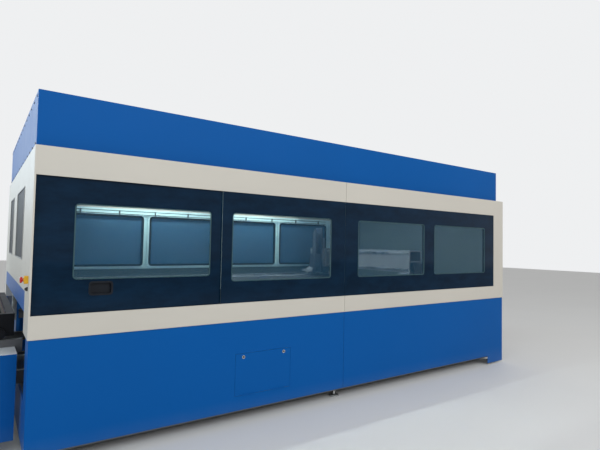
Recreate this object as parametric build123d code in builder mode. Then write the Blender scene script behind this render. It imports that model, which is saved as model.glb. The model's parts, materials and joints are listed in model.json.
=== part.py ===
from build123d import *
from math import cos, radians
import os

os.makedirs("parts", exist_ok=True)

# Enclosed sheet laser cutting machine with a two-level pallet table at its loading end.
# All sizes are in millimetres. Positions are measured from the cabin's front left corner on the
# floor: x along the front, y into the machine, z up. The helpers below move them to the part's
# frame, whose origin is on the floor under the middle of the cabin and table together.

# Cabin
cabin_length = 5090
cabin_depth = 2780
cabin_height = 2350
skirt_height = 106
white_bottom = 792
band_bottom = 937
band_top = 1799
white_top = 1982
left_lip = 10
right_post = 198
front_seam = 2500
rear_seam = 2500
fascia_setback = 85
fascia_inset = 11
lower_setback = 6

# Windows along the front and the back
window_bottom = 1105
window_top = 1637
door_window_bottom = 1150
front_window_start = 235
front_window_widths = (940, 991, 950, 940)
front_window_gaps = (170, 324, 160)
rear_window_start = 569
rear_window_width = 875
rear_window_gap = 122
rear_window_bottom = 1110
rear_window_top = 1700
window_radius = 25
inner_frame_width = 36
inner_frame_depth = 22
inner_frame_radius = 55
corner_steps = 3

# Sheet, glass and clearances
sheet = 3
fold = 30
glass = 6
pane = 4
lap = 6
pane_lap = 12
seam = 3
touch = 0.3
running_gap = 2

# Cabin frame
post_size = 80
post_wall = 5
post_setback = 95
post_inset = 20
mid_post_left = 2460
base_bottom = 60
roof_gap = 50
roof_panels_across = 5
roof_rib = 25
bracket_width = 40
side_brackets = (400, 2200, 2800, 4600)
end_brackets = (140, 800, 1980, 2640)

# Sliding front door
door_right = 1272
door_recess = 18
door_frame_depth = 40
door_frame_width = 34
door_lap = 12
door_travel = 1090
handle_left = 342
handle_width = 132
handle_bottom = 1053
handle_height = 74
handle_depth = 24
handle_radius = 12
handle_flange = 9
handle_rim = 2
track_height = 24
track_thickness = 8
track_rise = 15
track_inset = 5
track_bracket = 40
track_bracket_drop = 4
hanger_wheel = 18
hanger_wheel_sides = 12
hanger_inset = 150
hanger_width = 50
hanger_plate = 6
hanger_seat = 2
hanger_head = 15

# Service hatch in the lower front
hatch_left = 1400
hatch_width = 515
hatch_bottom = 215
hatch_height = 325
hatch_gap = 2
hatch_fold = 15
hinge_radius = 3
hinge_sides = 8
hinge_length = 60
hinge_inset = 60
lock_side_inset = 70
lock_top_inset = 28
lock_radius = 13
lock_stem = 7
lock_sides = 12
lock_face = 4
lock_slot = (18, 3, 1.5)
tongue_length = 44
tongue_width = 13
tongue_thickness = 3

# Loading end
end_post_width = 310
rear_post_width = 180
blue_post_width = 185
end_panel_bottom = 1060
end_panel_top_fold = 18
header_bottom = 925
end_windows = ((640, 1370), (1785, 2275))
end_window_bottom = 1255
end_window_top = 1785
opening_bottom = 380
loading_door_bottom = 920
loading_door_height = 330
loading_door_travel = 330
loading_door_x = 45
loading_door_thickness = 30
guide_wall = 4
guide_gap = 0.6
guide_lap = (15, 20)
guide_head = 60
door_side_lap = 25

# Machine bed
bed_left = 250
bed_right = 4400
bed_front = 350
bed_beam_width = 235
bed_beam_top = 960
bed_beam_wall = 12
cross_beam_size = 160
cross_beam_wall = 8
cross_beam_start = 330
cross_beam_pitch = 1240
cross_beam_count = 4
tray_height = 170
tray_wall = 3
tray_side_gap = 74
tray_flare = 36
tray_length = 1572
tray_pitch = 1620

# Pallets and their rails
pallet_length = 3250
pallet_inner_left = 300
pallet_gap = 45
pallet_end_gap = 280
pallet_side = 50
pallet_ride = 20
pallet_frame_height = 155
slat_top_above_rail = 200
slat_height = 90
slat_thickness = 6
slat_count = 16
tooth_count = 7
tooth_depth = 32
ledge = 20
ledge_thickness = 8
wheel_radius = 40
wheel_width = 26
wheel_count = 3
wheel_sides = 10
axle_sides = 6
axle_seat = 1
axle_radius = 12
axle_end = 6
wheel_gap = 4
upper_rail_top = 700
level_drop = 220
rail_flange = 42
rail_web = 6
rail_flange_thickness = 8
rail_web_height = 90
rail_end_gap = 20

# Exchange table
table_length = 3560
table_gap = 25
table_setback = 350
table_top = 650
table_panel_bottom = 90
table_tube = 60
table_tube_wall = 4
table_mid_tube_top = 470
table_post_count = 3
table_post_start = 300
table_post_pitch = 1440
cover_thickness = 3
cover_sections = 3
cover_fold = 15

# Pallet chain drive in the table's side boxes
sprocket_radius = 50
sprocket_width = 10
sprocket_teeth = 16
chain_thickness = 10
chain_width = 12
chain_axis_height = 560
chain_inset = 95
shaft_radius = 18
shaft_sides = 8
shaft_end_gap = 80
shaft_side_gap = 12
bearing_plate = 8
bearing_plate_length = 120
idler_x = 90
idler_stub = 20
drive_motor_size = 110
motor_sides = 12
drive_gear_width = 54
drive_motor_length = 190

# Gantry
gantry_home = 3955
gantry_travel = 3370
linear_rail_width = 28
linear_rail_height = 24
rail_inset_from_bed_end = 20
rack_width = 24
rack_gap = 40
saddle_length = 380
saddle_clearance = 16
saddle_base = 30
saddle_rise = 60
saddle_inner = 10
saddle_outer = 50
beam_width = 200
beam_height = 260
beam_wall = 10
beam_end = 420
block_length = 100
block_width = 62
block_clearance = 4
motor_size = 100
motor_length = 170
pinion_radius = 30
pinion_height = 20
pinion_gap = 4
pinion_clearance = 3
pinion_bore = 30
motor_flange = 50
motor_step = 5
pinion_shaft = 10
pinion_teeth = 12

# Carriage and cutting head
carriage_home = 2040
carriage_travel = 1300
y_rail_size = 20
y_rail_edge = 25
carriage_width = 240
carriage_plate = 20
y_block_depth = 44
y_block_inset = 10
y_block_margin = 14
head_travel = 300
head_plate_bottom = 1010
head_plate_top = 1640
head_plate_width = 140
head_plate_thickness = 12
z_rail_size = 20
z_rail_spread = 100
z_block_bottom = 1180
z_block_height = 150
z_block_margin = 12
z_rail_gap = 3
head_reach = 62
head_radius = 45
head_body_height = 190
head_body_margin = 8
head_barrel_step = 10
head_cap_height = 50
head_arm_half = 18
head_arm_rise = (90, 150)
nozzle_tip = 985
tip_top = 1003
tip_radius = 9
tip_collar = 4
tip_narrowing = 6
nozzle_top = 1080
nozzle_radius = 30
nozzle_collar = 18
nozzle_narrowing = 14
head_sides = 12
head_top = 1560
z_motor_size = 58
z_motor_length = 150

# Cable chain on the rear bed beam
trough_width = 110
trough_height = 80
trough_wall = 3
trough_left = 2050
trough_drop = 2
trough_end_gap = 100
chain_link = 91
chain_link_height = 46
chain_links = 20
chain_link_gap = 1
chain_link_start = 20
chain_link_insets = (14, 12)

# Emergency stop and key switch on the loading end
estop_y = 110
estop_z = 1150
estop_box = 48
estop_box_depth = 22
estop_collar_radius = 14
estop_collar = 4
estop_head_radius = 19
estop_head = 14
estop_stem_radius = 9
estop_travel = 4
estop_gap = 1
estop_sides = 12
estop_edge = 4
estop_bore = 22
estop_stem = 18
key_y = 112
key_z = 1092
key_radius = 13
key_depth = 14
key_bow = 24
key_bow_width = 3
key_bow_inset = 3
key_sides = 12

# Levelling feet
foot_radius = 45
foot_pad = 14
foot_stud = 12
foot_sides = 6
stud_sides = 6
bed_feet = 3
bed_foot_inset = 200
table_foot_inset = 110

cabin_left = (table_length - cabin_length) / 2
cabin_front = -cabin_depth / 2
lower_rail_top = upper_rail_top - level_drop
rail_line = bed_front + bed_beam_width
pallet_travel = pallet_inner_left + table_length - pallet_end_gap
pallet_front = rail_line + pallet_gap
posts_x = (post_inset, mid_post_left, cabin_length - post_inset - post_size)
roof_height = cabin_height - roof_gap
guide_back = loading_door_x + loading_door_thickness + guide_gap + guide_wall
shaft_x = -table_length + shaft_end_gap
door_window_height = (door_window_bottom, window_top)


def front_plane(depth):
    """An upright plane this far behind the front: x from the left corner, y up."""
    return Plane(origin=(cabin_left, cabin_front + depth, 0), x_dir=(1, 0, 0), z_dir=(0, -1, 0))


def end_plane(distance):
    """An upright plane this far from the loading end: x into the machine, y up."""
    return Plane(origin=(cabin_left + distance, cabin_front, 0), x_dir=(0, 1, 0), z_dir=(1, 0, 0))


def floor_plane(height):
    """A level plane at this height above the floor."""
    return Plane(origin=(cabin_left, cabin_front, height))


def across_machine(span):
    """The span mirrored about the cabin's long middle line."""
    return (cabin_depth - span[1], cabin_depth - span[0])


def both_sides(span):
    """The span at the front and its mirror image at the back."""
    return (span, across_machine(span))


def row(start, widths, gaps):
    """The (low, high) span of each item in a row."""
    spans = []
    low = start
    for index, width in enumerate(widths):
        spans.append((low, low + width))
        low += width + (gaps[index] if index < len(gaps) else 0)
    return spans


def grown(span, margin):
    """The span with this margin more at each end."""
    return (span[0] - margin, span[1] + margin)


def about(middle, half):
    """The span that reaches this far to both sides of its middle."""
    return (middle - half, middle + half)


def rectangle(across, up, radius=0, mode=Mode.ADD):
    """A rectangle between two spans in the open sketch, with corners rounded in straight steps."""
    if not radius:
        with Locations((sum(across) / 2, sum(up) / 2)):
            Rectangle(across[1] - across[0], up[1] - up[0], mode=mode)
        return
    centres = (
        (across[1] - radius, up[1] - radius), (across[0] + radius, up[1] - radius),
        (across[0] + radius, up[0] + radius), (across[1] - radius, up[0] + radius),
    )
    outline = [
        Vector(*centre) + Vector(radius, 0).rotate(Axis.Z, 90 * (corner + step / corner_steps))
        for corner, centre in enumerate(centres)
        for step in range(corner_steps + 1)
    ]
    Polygon(*outline, align=None, mode=mode)


def block(x, y, z, mode=Mode.ADD):
    """A block between three spans in the open part."""
    middle = (cabin_left + sum(x) / 2, cabin_front + sum(y) / 2, sum(z) / 2)
    with Locations(middle):
        Box(x[1] - x[0], y[1] - y[0], z[1] - z[0], mode=mode)


def bar(axis, span, centre, radius, sides, mode=Mode.ADD):
    """A bar with flat sides along x, y or z, over a span.

    Its corners lie on its radius, and a hole's sides lie on its radius, so that a bar turns freely
    in a hole that is a little wider.
    """
    low, length = span[0], span[1] - span[0]
    plane, place = {
        "x": (end_plane(low), centre),
        "y": (front_plane(low), centre),
        "z": (floor_plane(low), centre),
    }[axis]
    with BuildSketch(plane) as outline:
        with Locations(place):
            if mode == Mode.SUBTRACT:
                RegularPolygon(radius, sides, major_radius=False, rotation=90 - 180 / sides)
            else:
                RegularPolygon(radius, sides, rotation=90)
    extrude(outline.sketch, amount=-length if axis == "y" else length, mode=mode)


def tube(x, y, z, wall, along):
    """A hollow rectangular tube that is open at its two ends."""
    block(x, y, z)
    spans = {"x": x, "y": y, "z": z}
    inside = {name: span if name == along else grown(span, -wall) for name, span in spans.items()}
    block(inside["x"], inside["y"], inside["z"], mode=Mode.SUBTRACT)


def folded_panel(plane, across, up, folds, inward, openings=(), radius=0):
    """A sheet with folded edges: folds gives each folded edge's depth, openings are span pairs."""
    relief = sheet + 2 * seam
    low = across[0] + (0 if "left" in folds else relief)
    high = across[1] - (0 if "right" in folds else relief)
    strips = {
        "left": ((across[0], across[0] + sheet), up),
        "right": ((across[1] - sheet, across[1]), up),
        "bottom": ((low, high), (up[0], up[0] + sheet)),
        "top": ((low, high), (up[1] - sheet, up[1])),
    }
    with BuildPart() as panel:
        with BuildSketch(plane):
            rectangle(across, up)
            for opening in openings:
                rectangle(*opening, radius=radius, mode=Mode.SUBTRACT)
        extrude(amount=inward * sheet)
        for side, depth in folds.items():
            with BuildSketch(plane):
                rectangle(*strips[side])
            extrude(amount=inward * depth)
    return panel


def gathered(pieces):
    """Like pieces that stand apart, in one group."""
    with BuildPart() as group:
        for piece in pieces:
            add(piece.part)
    return group


def write(piece, node):
    piece.part.label = node
    export_step(piece.part, f"parts/{node}.step")


front_windows = row(front_window_start, front_window_widths, front_window_gaps)
rear_windows = row(rear_window_start, (rear_window_width,) * 4, (rear_window_gap,) * 3)
window_height = (window_bottom, window_top)
rear_window_height = (rear_window_bottom, rear_window_top)
band = (band_bottom, band_top)
white = (white_bottom, white_top)
blue = (skirt_height, white_bottom - running_gap)
top_fold = post_setback - touch


def cabin_frame():
    """The square tube frame that carries the cabin's panels."""
    low, high = post_setback, cabin_depth - post_setback
    cross = (low + post_size + touch, high - post_size - touch)
    ends = (post_inset, cabin_length - post_inset)
    panel_back = lower_setback + sheet + touch
    bracket_height = (skirt_height + sheet + touch, base_bottom + post_size)
    half = bracket_width / 2
    with BuildPart() as base:
        for y in both_sides((low, low + post_size)):
            tube(ends, y, (base_bottom, base_bottom + post_size), post_wall, "x")
        for x in (posts_x[0], posts_x[-1]):
            tube((x, x + post_size), cross, (base_bottom, base_bottom + post_size), post_wall, "y")
        for centre in side_brackets:
            for y in both_sides((panel_back, low)):
                block(grown((centre, centre), half), y, bracket_height)
        for centre in end_brackets:
            for x in ((panel_back, ends[0]), (ends[1], cabin_length - panel_back)):
                block(x, grown((centre, centre), half), bracket_height)
    write(base, "base_frame")

    with BuildPart() as posts:
        span = (base_bottom + post_size + touch, roof_height - post_size - touch)
        for x in posts_x:
            for y in both_sides((low, low + post_size)):
                tube((x, x + post_size), y, span, post_wall, "z")
    write(posts, "cabin_posts")

    with BuildPart() as roof:
        span = (roof_height - post_size, roof_height)
        for y in both_sides((low, low + post_size)):
            tube(ends, y, span, post_wall, "x")
        for x in posts_x:
            tube((x, x + post_size), cross, span, post_wall, "y")
    write(roof, "roof_frame")


def roof_panels():
    """Flat roof sheets with upturned edges, laid side by side inside the fascia."""
    margin = fascia_inset + sheet + running_gap
    width = (cabin_length - 2 * margin - (roof_panels_across - 1) * seam) / roof_panels_across
    widths = (width,) * roof_panels_across
    low = fascia_setback + sheet + running_gap
    pieces = []
    for x in row(margin, widths, (seam,) * (roof_panels_across - 1)):
        folds = {"left": roof_rib, "right": roof_rib}
        across = (low, cabin_depth - low)
        pieces.append(folded_panel(floor_plane(roof_height), x, across, folds, 1))
    write(gathered(pieces), "roof_panels")


def fascia():
    """The blue band round the top, set back from the front and the back."""
    z = (white_top, cabin_height)
    x = (fascia_inset, cabin_length - fascia_inset)
    y = (fascia_setback + sheet, cabin_depth - fascia_setback - sheet)
    folds = {"top": fold, "bottom": post_setback - fascia_setback - touch}
    end_folds = {"bottom": post_inset - fascia_inset - touch}
    pieces = [
        folded_panel(front_plane(fascia_setback), x, z, folds, -1),
        folded_panel(front_plane(cabin_depth - fascia_setback), x, z, folds, 1),
    ]
    ends = grown(y, -touch)
    pieces.append(folded_panel(end_plane(fascia_inset), ends, z, end_folds, 1))
    pieces.append(folded_panel(end_plane(cabin_length - fascia_inset), ends, z, end_folds, -1))
    write(gathered(pieces), "top_fascia")


def front_and_rear_frames():
    """The white frames round the dark bands, in two lengths on each long side."""
    folds = {"top": top_fold, "bottom": fold}
    left = folded_panel(
        front_plane(0), (0, front_seam), white, {**folds, "right": fold}, -1,
        [((left_lip, front_seam), band)],
    )
    with BuildPart() as left_frame:
        add(left.part)
        block((left_lip, front_seam), (sheet, fold), grown(band, 2 * lap), mode=Mode.SUBTRACT)
        block((front_seam - sheet, front_seam), (0, sheet), band, mode=Mode.SUBTRACT)
    write(left_frame, "front_frame_left")

    right = folded_panel(
        front_plane(0), (front_seam + seam, cabin_length), white, {**folds, "left": fold}, -1,
        [((front_seam + seam, cabin_length - right_post), band)],
    )
    with BuildPart() as right_frame:
        add(right.part)
        inside = (front_seam + seam, front_seam + seam + sheet)
        block(inside, (sheet, fold), grown(band, 2 * lap), mode=Mode.SUBTRACT)
        block(inside, (0, sheet), band, mode=Mode.SUBTRACT)
    write(right_frame, "front_frame_right")

    pieces = []
    for across, edge in (
        ((0, rear_seam), (right_post, rear_seam - fold)),
        ((rear_seam + seam, cabin_length), (rear_seam + seam + fold, cabin_length - right_post)),
    ):
        pieces.append(
            folded_panel(front_plane(cabin_depth), across, white, folds, 1, [(edge, band)])
        )
    write(gathered(pieces), "rear_frame")


def dark_glass(plane, across, windows, up):
    """A dark glass panel with a rounded opening for each window."""
    with BuildPart() as panel:
        with BuildSketch(plane):
            rectangle(across, grown(band, lap))
            for window in windows:
                rectangle(window, up, radius=window_radius, mode=Mode.SUBTRACT)
        extrude(amount=-glass)
    return panel


def glazing():
    """The dark bands, and the tinted panes behind their openings."""
    left = (door_right - 2 * lap, front_seam - touch)
    right = (front_seam + seam - touch, cabin_length - right_post + lap)
    write(dark_glass(front_plane(sheet), left, front_windows[1:2], window_height), "front_glass_left")
    write(dark_glass(front_plane(sheet), right, front_windows[2:], window_height), "front_glass_right")

    back = front_plane(cabin_depth - sheet - glass)
    seam_middle = rear_seam + seam / 2
    rear = [
        dark_glass(back, (right_post - lap, seam_middle - touch), rear_windows[:2], rear_window_height),
        dark_glass(
            back, (seam_middle + touch, cabin_length - right_post + lap),
            rear_windows[2:], rear_window_height,
        ),
    ]
    write(gathered(rear), "rear_glass")

    with BuildPart() as panes:
        for window in front_windows[1:]:
            depth = (sheet + glass, sheet + glass + pane)
            block(grown(window, pane_lap), depth, grown(window_height, pane_lap))
        for window in rear_windows:
            depth = across_machine((sheet + glass, sheet + glass + pane))
            block(grown(window, pane_lap), depth, grown(rear_window_height, pane_lap))
        for window in end_windows:
            height = grown((end_window_bottom, end_window_top), pane_lap)
            block((sheet, sheet + pane), grown(window, pane_lap), height)
    write(panes, "window_panes")

    with BuildPart() as frames:
        outline = pane_lap + touch
        spots = [(front_plane(sheet + glass), window, window_height) for window in front_windows[2:]]
        inner_face = cabin_depth - sheet - glass - inner_frame_depth
        spots += [(front_plane(inner_face), window, rear_window_height) for window in rear_windows]
        for plane, window, height in spots:
            with BuildSketch(plane):
                rectangle(
                    grown(window, outline + inner_frame_width),
                    grown(height, outline + inner_frame_width),
                    radius=inner_frame_radius,
                )
                rectangle(grown(window, outline), grown(height, outline), mode=Mode.SUBTRACT)
            extrude(amount=-inner_frame_depth)
    write(frames, "window_frames")


def lower_panels():
    """The blue lower panels, with the hatch opening and the step down to the floor at the right."""
    folds = {"bottom": fold, "top": fold}
    hatch = ((hatch_left, hatch_left + hatch_width), (hatch_bottom, hatch_bottom + hatch_height))
    left = (lower_setback, front_seam - touch)
    with BuildPart() as left_panel:
        add(folded_panel(front_plane(lower_setback), left, blue, folds, -1, [hatch]).part)
        for x in hinge_leaves(hinge_length + touch):
            bar("x", x, hinge_axis, hinge_radius, hinge_sides)
            leaf = (lower_setback - hinge_radius, lower_setback)
            block(x, leaf, (hatch_bottom - 2 * hinge_radius, hinge_axis[1]))
    write(left_panel, "lower_panel_left")

    right = (front_seam + seam, cabin_length - lower_setback)
    with BuildPart() as right_panel:
        add(folded_panel(front_plane(lower_setback), right, blue, {"top": fold}, -1).part)
        step = (cabin_length - end_post_width, cabin_length - lower_setback)
        block(step, (lower_setback, lower_setback + sheet), (foot_pad + lower_setback, skirt_height))
        block(
            (right[0], step[0]), (lower_setback, lower_setback + fold),
            (skirt_height, skirt_height + sheet),
        )
    write(right_panel, "lower_panel_right")

    rear = [
        folded_panel(front_plane(cabin_depth - lower_setback), across, blue, folds, 1)
        for across in (
            (lower_setback, rear_seam - touch),
            (rear_seam + seam, cabin_length - lower_setback),
        )
    ]
    write(gathered(rear), "rear_lower_panels")


hinge_axis = (lower_setback - hinge_radius, hatch_bottom + hatch_gap / 2)


def hinge_leaves(shift):
    """The spans of one knuckle at each end of the hatch's bottom edge, moved along by shift."""
    left = hatch_left + hinge_inset
    right = hatch_left + hatch_width - hinge_inset - 2 * hinge_length
    return [(x + shift, x + shift + hinge_length) for x in (left, right)]


def hatch_locks():
    """The x and z of each quarter-turn lock."""
    z = hatch_bottom + hatch_height - lock_top_inset
    left = hatch_left + lock_side_inset
    return ((left, z), (hatch_left + hatch_width - lock_side_inset, z))


def service_hatch():
    """The hatch in the lower front: a folded plate on two bottom hinges, with two turning locks."""
    x = grown((hatch_left, hatch_left + hatch_width), -hatch_gap)
    z = grown((hatch_bottom, hatch_bottom + hatch_height), -hatch_gap)
    folds = {"left": hatch_fold, "right": hatch_fold, "bottom": hatch_fold}
    with BuildPart() as hatch:
        add(folded_panel(front_plane(lower_setback), x, z, folds, -1).part)
        for span in hinge_leaves(0):
            bar("x", span, hinge_axis, hinge_radius, hinge_sides)
            leaf = (lower_setback - hinge_radius, lower_setback)
            block(span, leaf, (z[0], z[0] + 2 * hinge_radius))
        for centre in hatch_locks():
            hole = (lower_setback, lower_setback + sheet)
            bar("y", hole, centre, lock_stem + touch, lock_sides, mode=Mode.SUBTRACT)
    write(hatch, "service_hatch")

    back = lower_setback + sheet
    for side, centre in zip(("left", "right"), hatch_locks()):
        with BuildPart() as lock:
            face = lower_setback - lock_face
            slot_length, slot_width, slot_depth = lock_slot
            slot = (about(centre[0], slot_length / 2), (face, face + slot_depth))
            bar("y", (face, lower_setback - touch), centre, lock_radius, lock_sides)
            block(*slot, about(centre[1], slot_width / 2), mode=Mode.SUBTRACT)
            depth = (back + tongue_thickness, back + 2 * tongue_thickness)
            bar("y", (lower_setback - touch, depth[1]), centre, lock_stem, lock_sides)
            tongue = (centre[0] - lock_stem, centre[0] + tongue_length)
            if side == "right":
                tongue = (centre[0] - tongue_length, centre[0] + lock_stem)
            block(tongue, depth, about(centre[1], tongue_width / 2))
        write(lock, f"hatch_lock_{side}")


def front_door():
    """The sliding door at the left of the front: frame, dark glass, pane and recessed pull."""
    x = (left_lip - running_gap, door_right)
    z = grown(band, door_lap)
    window = front_windows[0]
    front = door_recess
    back = front + glass
    pull = ((handle_left, handle_left + handle_width), (handle_bottom, handle_bottom + handle_height))
    with BuildPart() as glass_panel:
        with BuildSketch(front_plane(front)):
            rectangle(x, z)
            rectangle(window, door_window_height, radius=window_radius, mode=Mode.SUBTRACT)
            rectangle(*pull, radius=handle_radius, mode=Mode.SUBTRACT)
        extrude(amount=-glass)
    write(glass_panel, "front_door_glass")

    track = track_height_span()
    wheel_height = track[1] + hanger_wheel + touch
    with BuildPart() as frame:
        with BuildSketch(front_plane(back)):
            rectangle(x, z)
            rectangle(grown(x, -door_frame_width), grown(z, -door_frame_width), mode=Mode.SUBTRACT)
        extrude(amount=-door_frame_depth)
        for centre in (x[0] + hanger_inset, x[1] - hanger_inset):
            plate = (track_front() - touch - hanger_plate, track_front() - touch)
            height = (z[1] - hanger_seat, wheel_height + hanger_head)
            block(about(centre, hanger_width / 2), plate, height)
            wheel_depth = (plate[1], track_front() + track_thickness)
            bar("y", wheel_depth, (centre, wheel_height), hanger_wheel, hanger_wheel_sides)
    write(frame, "front_door_frame")

    with BuildPart() as door_pane:
        height = grown(door_window_height, pane_lap)
        block(grown(window, pane_lap), (back, back + pane), height)
    write(door_pane, "front_door_window")

    with BuildPart() as handle:
        outside = [grown(span, handle_flange) for span in pull]
        inside = [grown(span, -running_gap - touch) for span in pull]
        with BuildSketch(front_plane(front - handle_rim)):
            rectangle(*outside, radius=handle_radius + handle_flange)
        extrude(amount=-handle_rim)
        with BuildSketch(front_plane(front)):
            rectangle(*[grown(span, -touch) for span in pull], radius=handle_radius)
        extrude(amount=-handle_depth)
        with BuildSketch(front_plane(front - handle_rim)):
            rectangle(*inside, radius=handle_radius)
        extrude(amount=-handle_depth, mode=Mode.SUBTRACT)
    write(handle, "front_door_handle")


def track_front():
    """How far the door's overhead track lies behind the front."""
    return door_recess + glass + door_frame_depth / 2


def track_height_span():
    low = band_top + door_lap + track_rise
    return (low, low + track_height)


def door_track():
    """The overhead bar that the door's wheels run on, with a bracket to the posts at each end."""
    z = track_height_span()
    front = track_front()
    with BuildPart() as track:
        ends = (posts_x[0] + track_inset, posts_x[1] + track_bracket)
        block(ends, (front, front + track_thickness), z)
        for x in (ends[0], posts_x[1]):
            bracket = (front + track_thickness, post_setback)
            block((x, x + track_bracket), bracket, (z[0], z[1] - track_bracket_drop))
    write(track, "door_track")


def loading_end():
    """The panels of the loading end, with the opening that the pallets pass, and the right end."""
    depth = guide_back + touch
    y = (sheet, cabin_depth - sheet)
    panels = [
        folded_panel(end_plane(0), (sheet, end_post_width), white, {"right": depth}, 1),
        folded_panel(end_plane(0), (cabin_depth - rear_post_width, y[1]), white, {"left": depth}, 1),
        folded_panel(end_plane(cabin_length), y, white, {}, -1),
    ]
    write(gathered(panels), "white_end_panels")

    inset = lower_setback + sheet
    folded = post_inset - lower_setback - running_gap
    lower = (blue_post_width + seam, cabin_depth - blue_post_width - seam)
    panels = [
        folded_panel(end_plane(lower_setback), post, blue, {side: folded}, 1)
        for post, side in zip(both_sides((inset, blue_post_width)), ("right", "left"))
    ]
    below_opening = (skirt_height, opening_bottom)
    panels.append(folded_panel(end_plane(lower_setback), lower, below_opening, {"top": folded}, 1))
    right_end = (inset, cabin_depth - inset)
    panels.append(folded_panel(end_plane(cabin_length - lower_setback), right_end, blue, {}, -1))
    panel_span = (end_post_width + seam, cabin_depth - rear_post_width - seam)
    header = (header_bottom, end_panel_bottom - touch)
    panels.append(folded_panel(end_plane(0), panel_span, header, {"bottom": fold}, 1))
    write(gathered(panels), "blue_end_panels")

    height = (end_window_bottom, end_window_top)
    panel = folded_panel(
        end_plane(0), panel_span, (end_panel_bottom, white_top),
        {"left": fold, "right": fold, "bottom": fold, "top": end_panel_top_fold}, 1,
        [(window, height) for window in end_windows],
    )
    write(panel, "loading_end_panel")

    jamb = (blue_post_width + seam, rail_line - touch)
    jamb_height = (opening_bottom + seam, end_panel_bottom + fold)
    jambs = [
        folded_panel(end_plane(depth), y, jamb_height, {side: fold}, 1)
        for y, side in zip(both_sides(jamb), ("right", "left"))
    ]
    write(gathered(jambs), "loading_jambs")


def loading_door():
    """The lift door behind the loading end's white panel, and the channels that guide it."""
    x = (loading_door_x, loading_door_x + loading_door_thickness)
    y = (rail_line - door_side_lap, cabin_depth - rail_line + door_side_lap)
    z = (loading_door_bottom, loading_door_bottom + loading_door_height)
    folds = {side: loading_door_thickness for side in ("left", "right", "top", "bottom")}
    write(folded_panel(end_plane(x[0]), y, z, folds, 1), "loading_door")

    height = (z[0] - loading_door_travel, z[1] + guide_head)
    with BuildPart() as guides:
        outside = (y[0] - guide_lap[0], y[0] + guide_lap[1])
        for side, flip in ((outside, False), (across_machine(outside), True)):
            block(grown(x, guide_gap + guide_wall), side, height)
            slot = (y[0] - guide_gap, outside[1])
            if flip:
                slot = across_machine(slot)
            block(grown(x, guide_gap), slot, height, mode=Mode.SUBTRACT)
    write(guides, "loading_door_guides")


def machine_bed():
    """The welded bed inside the cabin, its rails, and the trays under the pallets."""
    beam = (bed_front, bed_front + bed_beam_width)
    with BuildPart() as beams:
        for y in both_sides(beam):
            tube((bed_left, bed_right), y, (base_bottom, bed_beam_top), bed_beam_wall, "x")
    write(beams, "bed_beams")

    cross = (rail_line + touch, cabin_depth - rail_line - touch)
    with BuildPart() as crosses:
        for index in range(cross_beam_count):
            x = cross_beam_start + index * cross_beam_pitch
            z = (base_bottom, base_bottom + cross_beam_size)
            tube((x, x + cross_beam_size), cross, z, cross_beam_wall, "y")
    write(crosses, "bed_cross_beams")

    bottom = base_bottom + cross_beam_size + touch
    top = bottom + tray_height
    side = rail_line + tray_side_gap
    with BuildPart() as trays:
        for index in range(2):
            left = pallet_inner_left - tray_flare + index * tray_pitch
            for wall, mode in ((0, Mode.ADD), (tray_wall, Mode.SUBTRACT)):
                slope = across_machine((side + wall, side + tray_flare + wall))
                with BuildSketch(end_plane(left + wall)):
                    with BuildLine():
                        Polyline(
                            (side + wall, top), (side + tray_flare + wall, bottom + wall),
                            (slope[0], bottom + wall), (slope[1], top), close=True,
                        )
                    make_face()
                extrude(amount=tray_length - 2 * wall, mode=mode)
    write(trays, "scrap_trays")

    rail_x = (bed_left + rail_inset_from_bed_end, bed_right - rail_inset_from_bed_end)
    with BuildPart() as rails:
        for y in both_sides(x_rail_span()):
            block(rail_x, y, (bed_beam_top, bed_beam_top + linear_rail_height))
        for y in both_sides(rack_span()):
            block(rail_x, y, (bed_beam_top, bed_beam_top + linear_rail_height))
    write(rails, "gantry_rails")


def x_rail_span():
    """Where the gantry's linear rail lies on the front bed beam."""
    middle = bed_front + bed_beam_width / 2
    return (middle - linear_rail_width / 2, middle + linear_rail_width / 2)


def rack_span():
    """Where the gantry's rack lies, outside the linear rail."""
    high = x_rail_span()[0] - rack_gap
    return (high - rack_width, high)


def pallet_rails():
    """Angle rails at two levels: the lower ones run through, the upper ones part for the door."""
    door_side = loading_door_x - guide_gap - guide_wall - rail_end_gap
    bed_side = loading_door_x + loading_door_thickness + guide_gap + guide_wall + rail_end_gap
    table_rails = (-table_length + table_tube, door_side)
    bed_rails = (bed_side, pallet_inner_left + pallet_length + 2 * wheel_radius)
    flange_y = (rail_line + touch, rail_line + touch + rail_flange)
    web_y = (flange_y[0], flange_y[0] + rail_web)
    through = (table_rails[0], bed_rails[1])
    with BuildPart() as rails:
        for x, top in (
            (table_rails, upper_rail_top), (bed_rails, upper_rail_top), (through, lower_rail_top),
        ):
            for flange, web in zip(both_sides(flange_y), both_sides(web_y)):
                block(x, flange, (top - rail_flange_thickness, top))
                block(x, web, (top - rail_web_height, top))
    write(rails, "pallet_rails")


def slat(x, level):
    """One support slat with a row of teeth along its top, across the pallet."""
    y = (pallet_front + pallet_side + touch, cabin_depth - pallet_front - pallet_side - touch)
    top = level + slat_top_above_rail
    pitch = (y[1] - y[0]) / tooth_count
    points = [(y[0], top - slat_height)]
    for index in range(tooth_count):
        points.append((y[0] + index * pitch, top - tooth_depth))
        points.append((y[0] + (index + 0.5) * pitch, top))
    points.append((y[1], top - tooth_depth))
    points.append((y[1], top - slat_height))
    with BuildPart() as piece:
        with BuildSketch(end_plane(x)):
            with BuildLine():
                Polyline(*points, close=True)
            make_face()
        extrude(amount=slat_thickness)
    return piece


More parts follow.
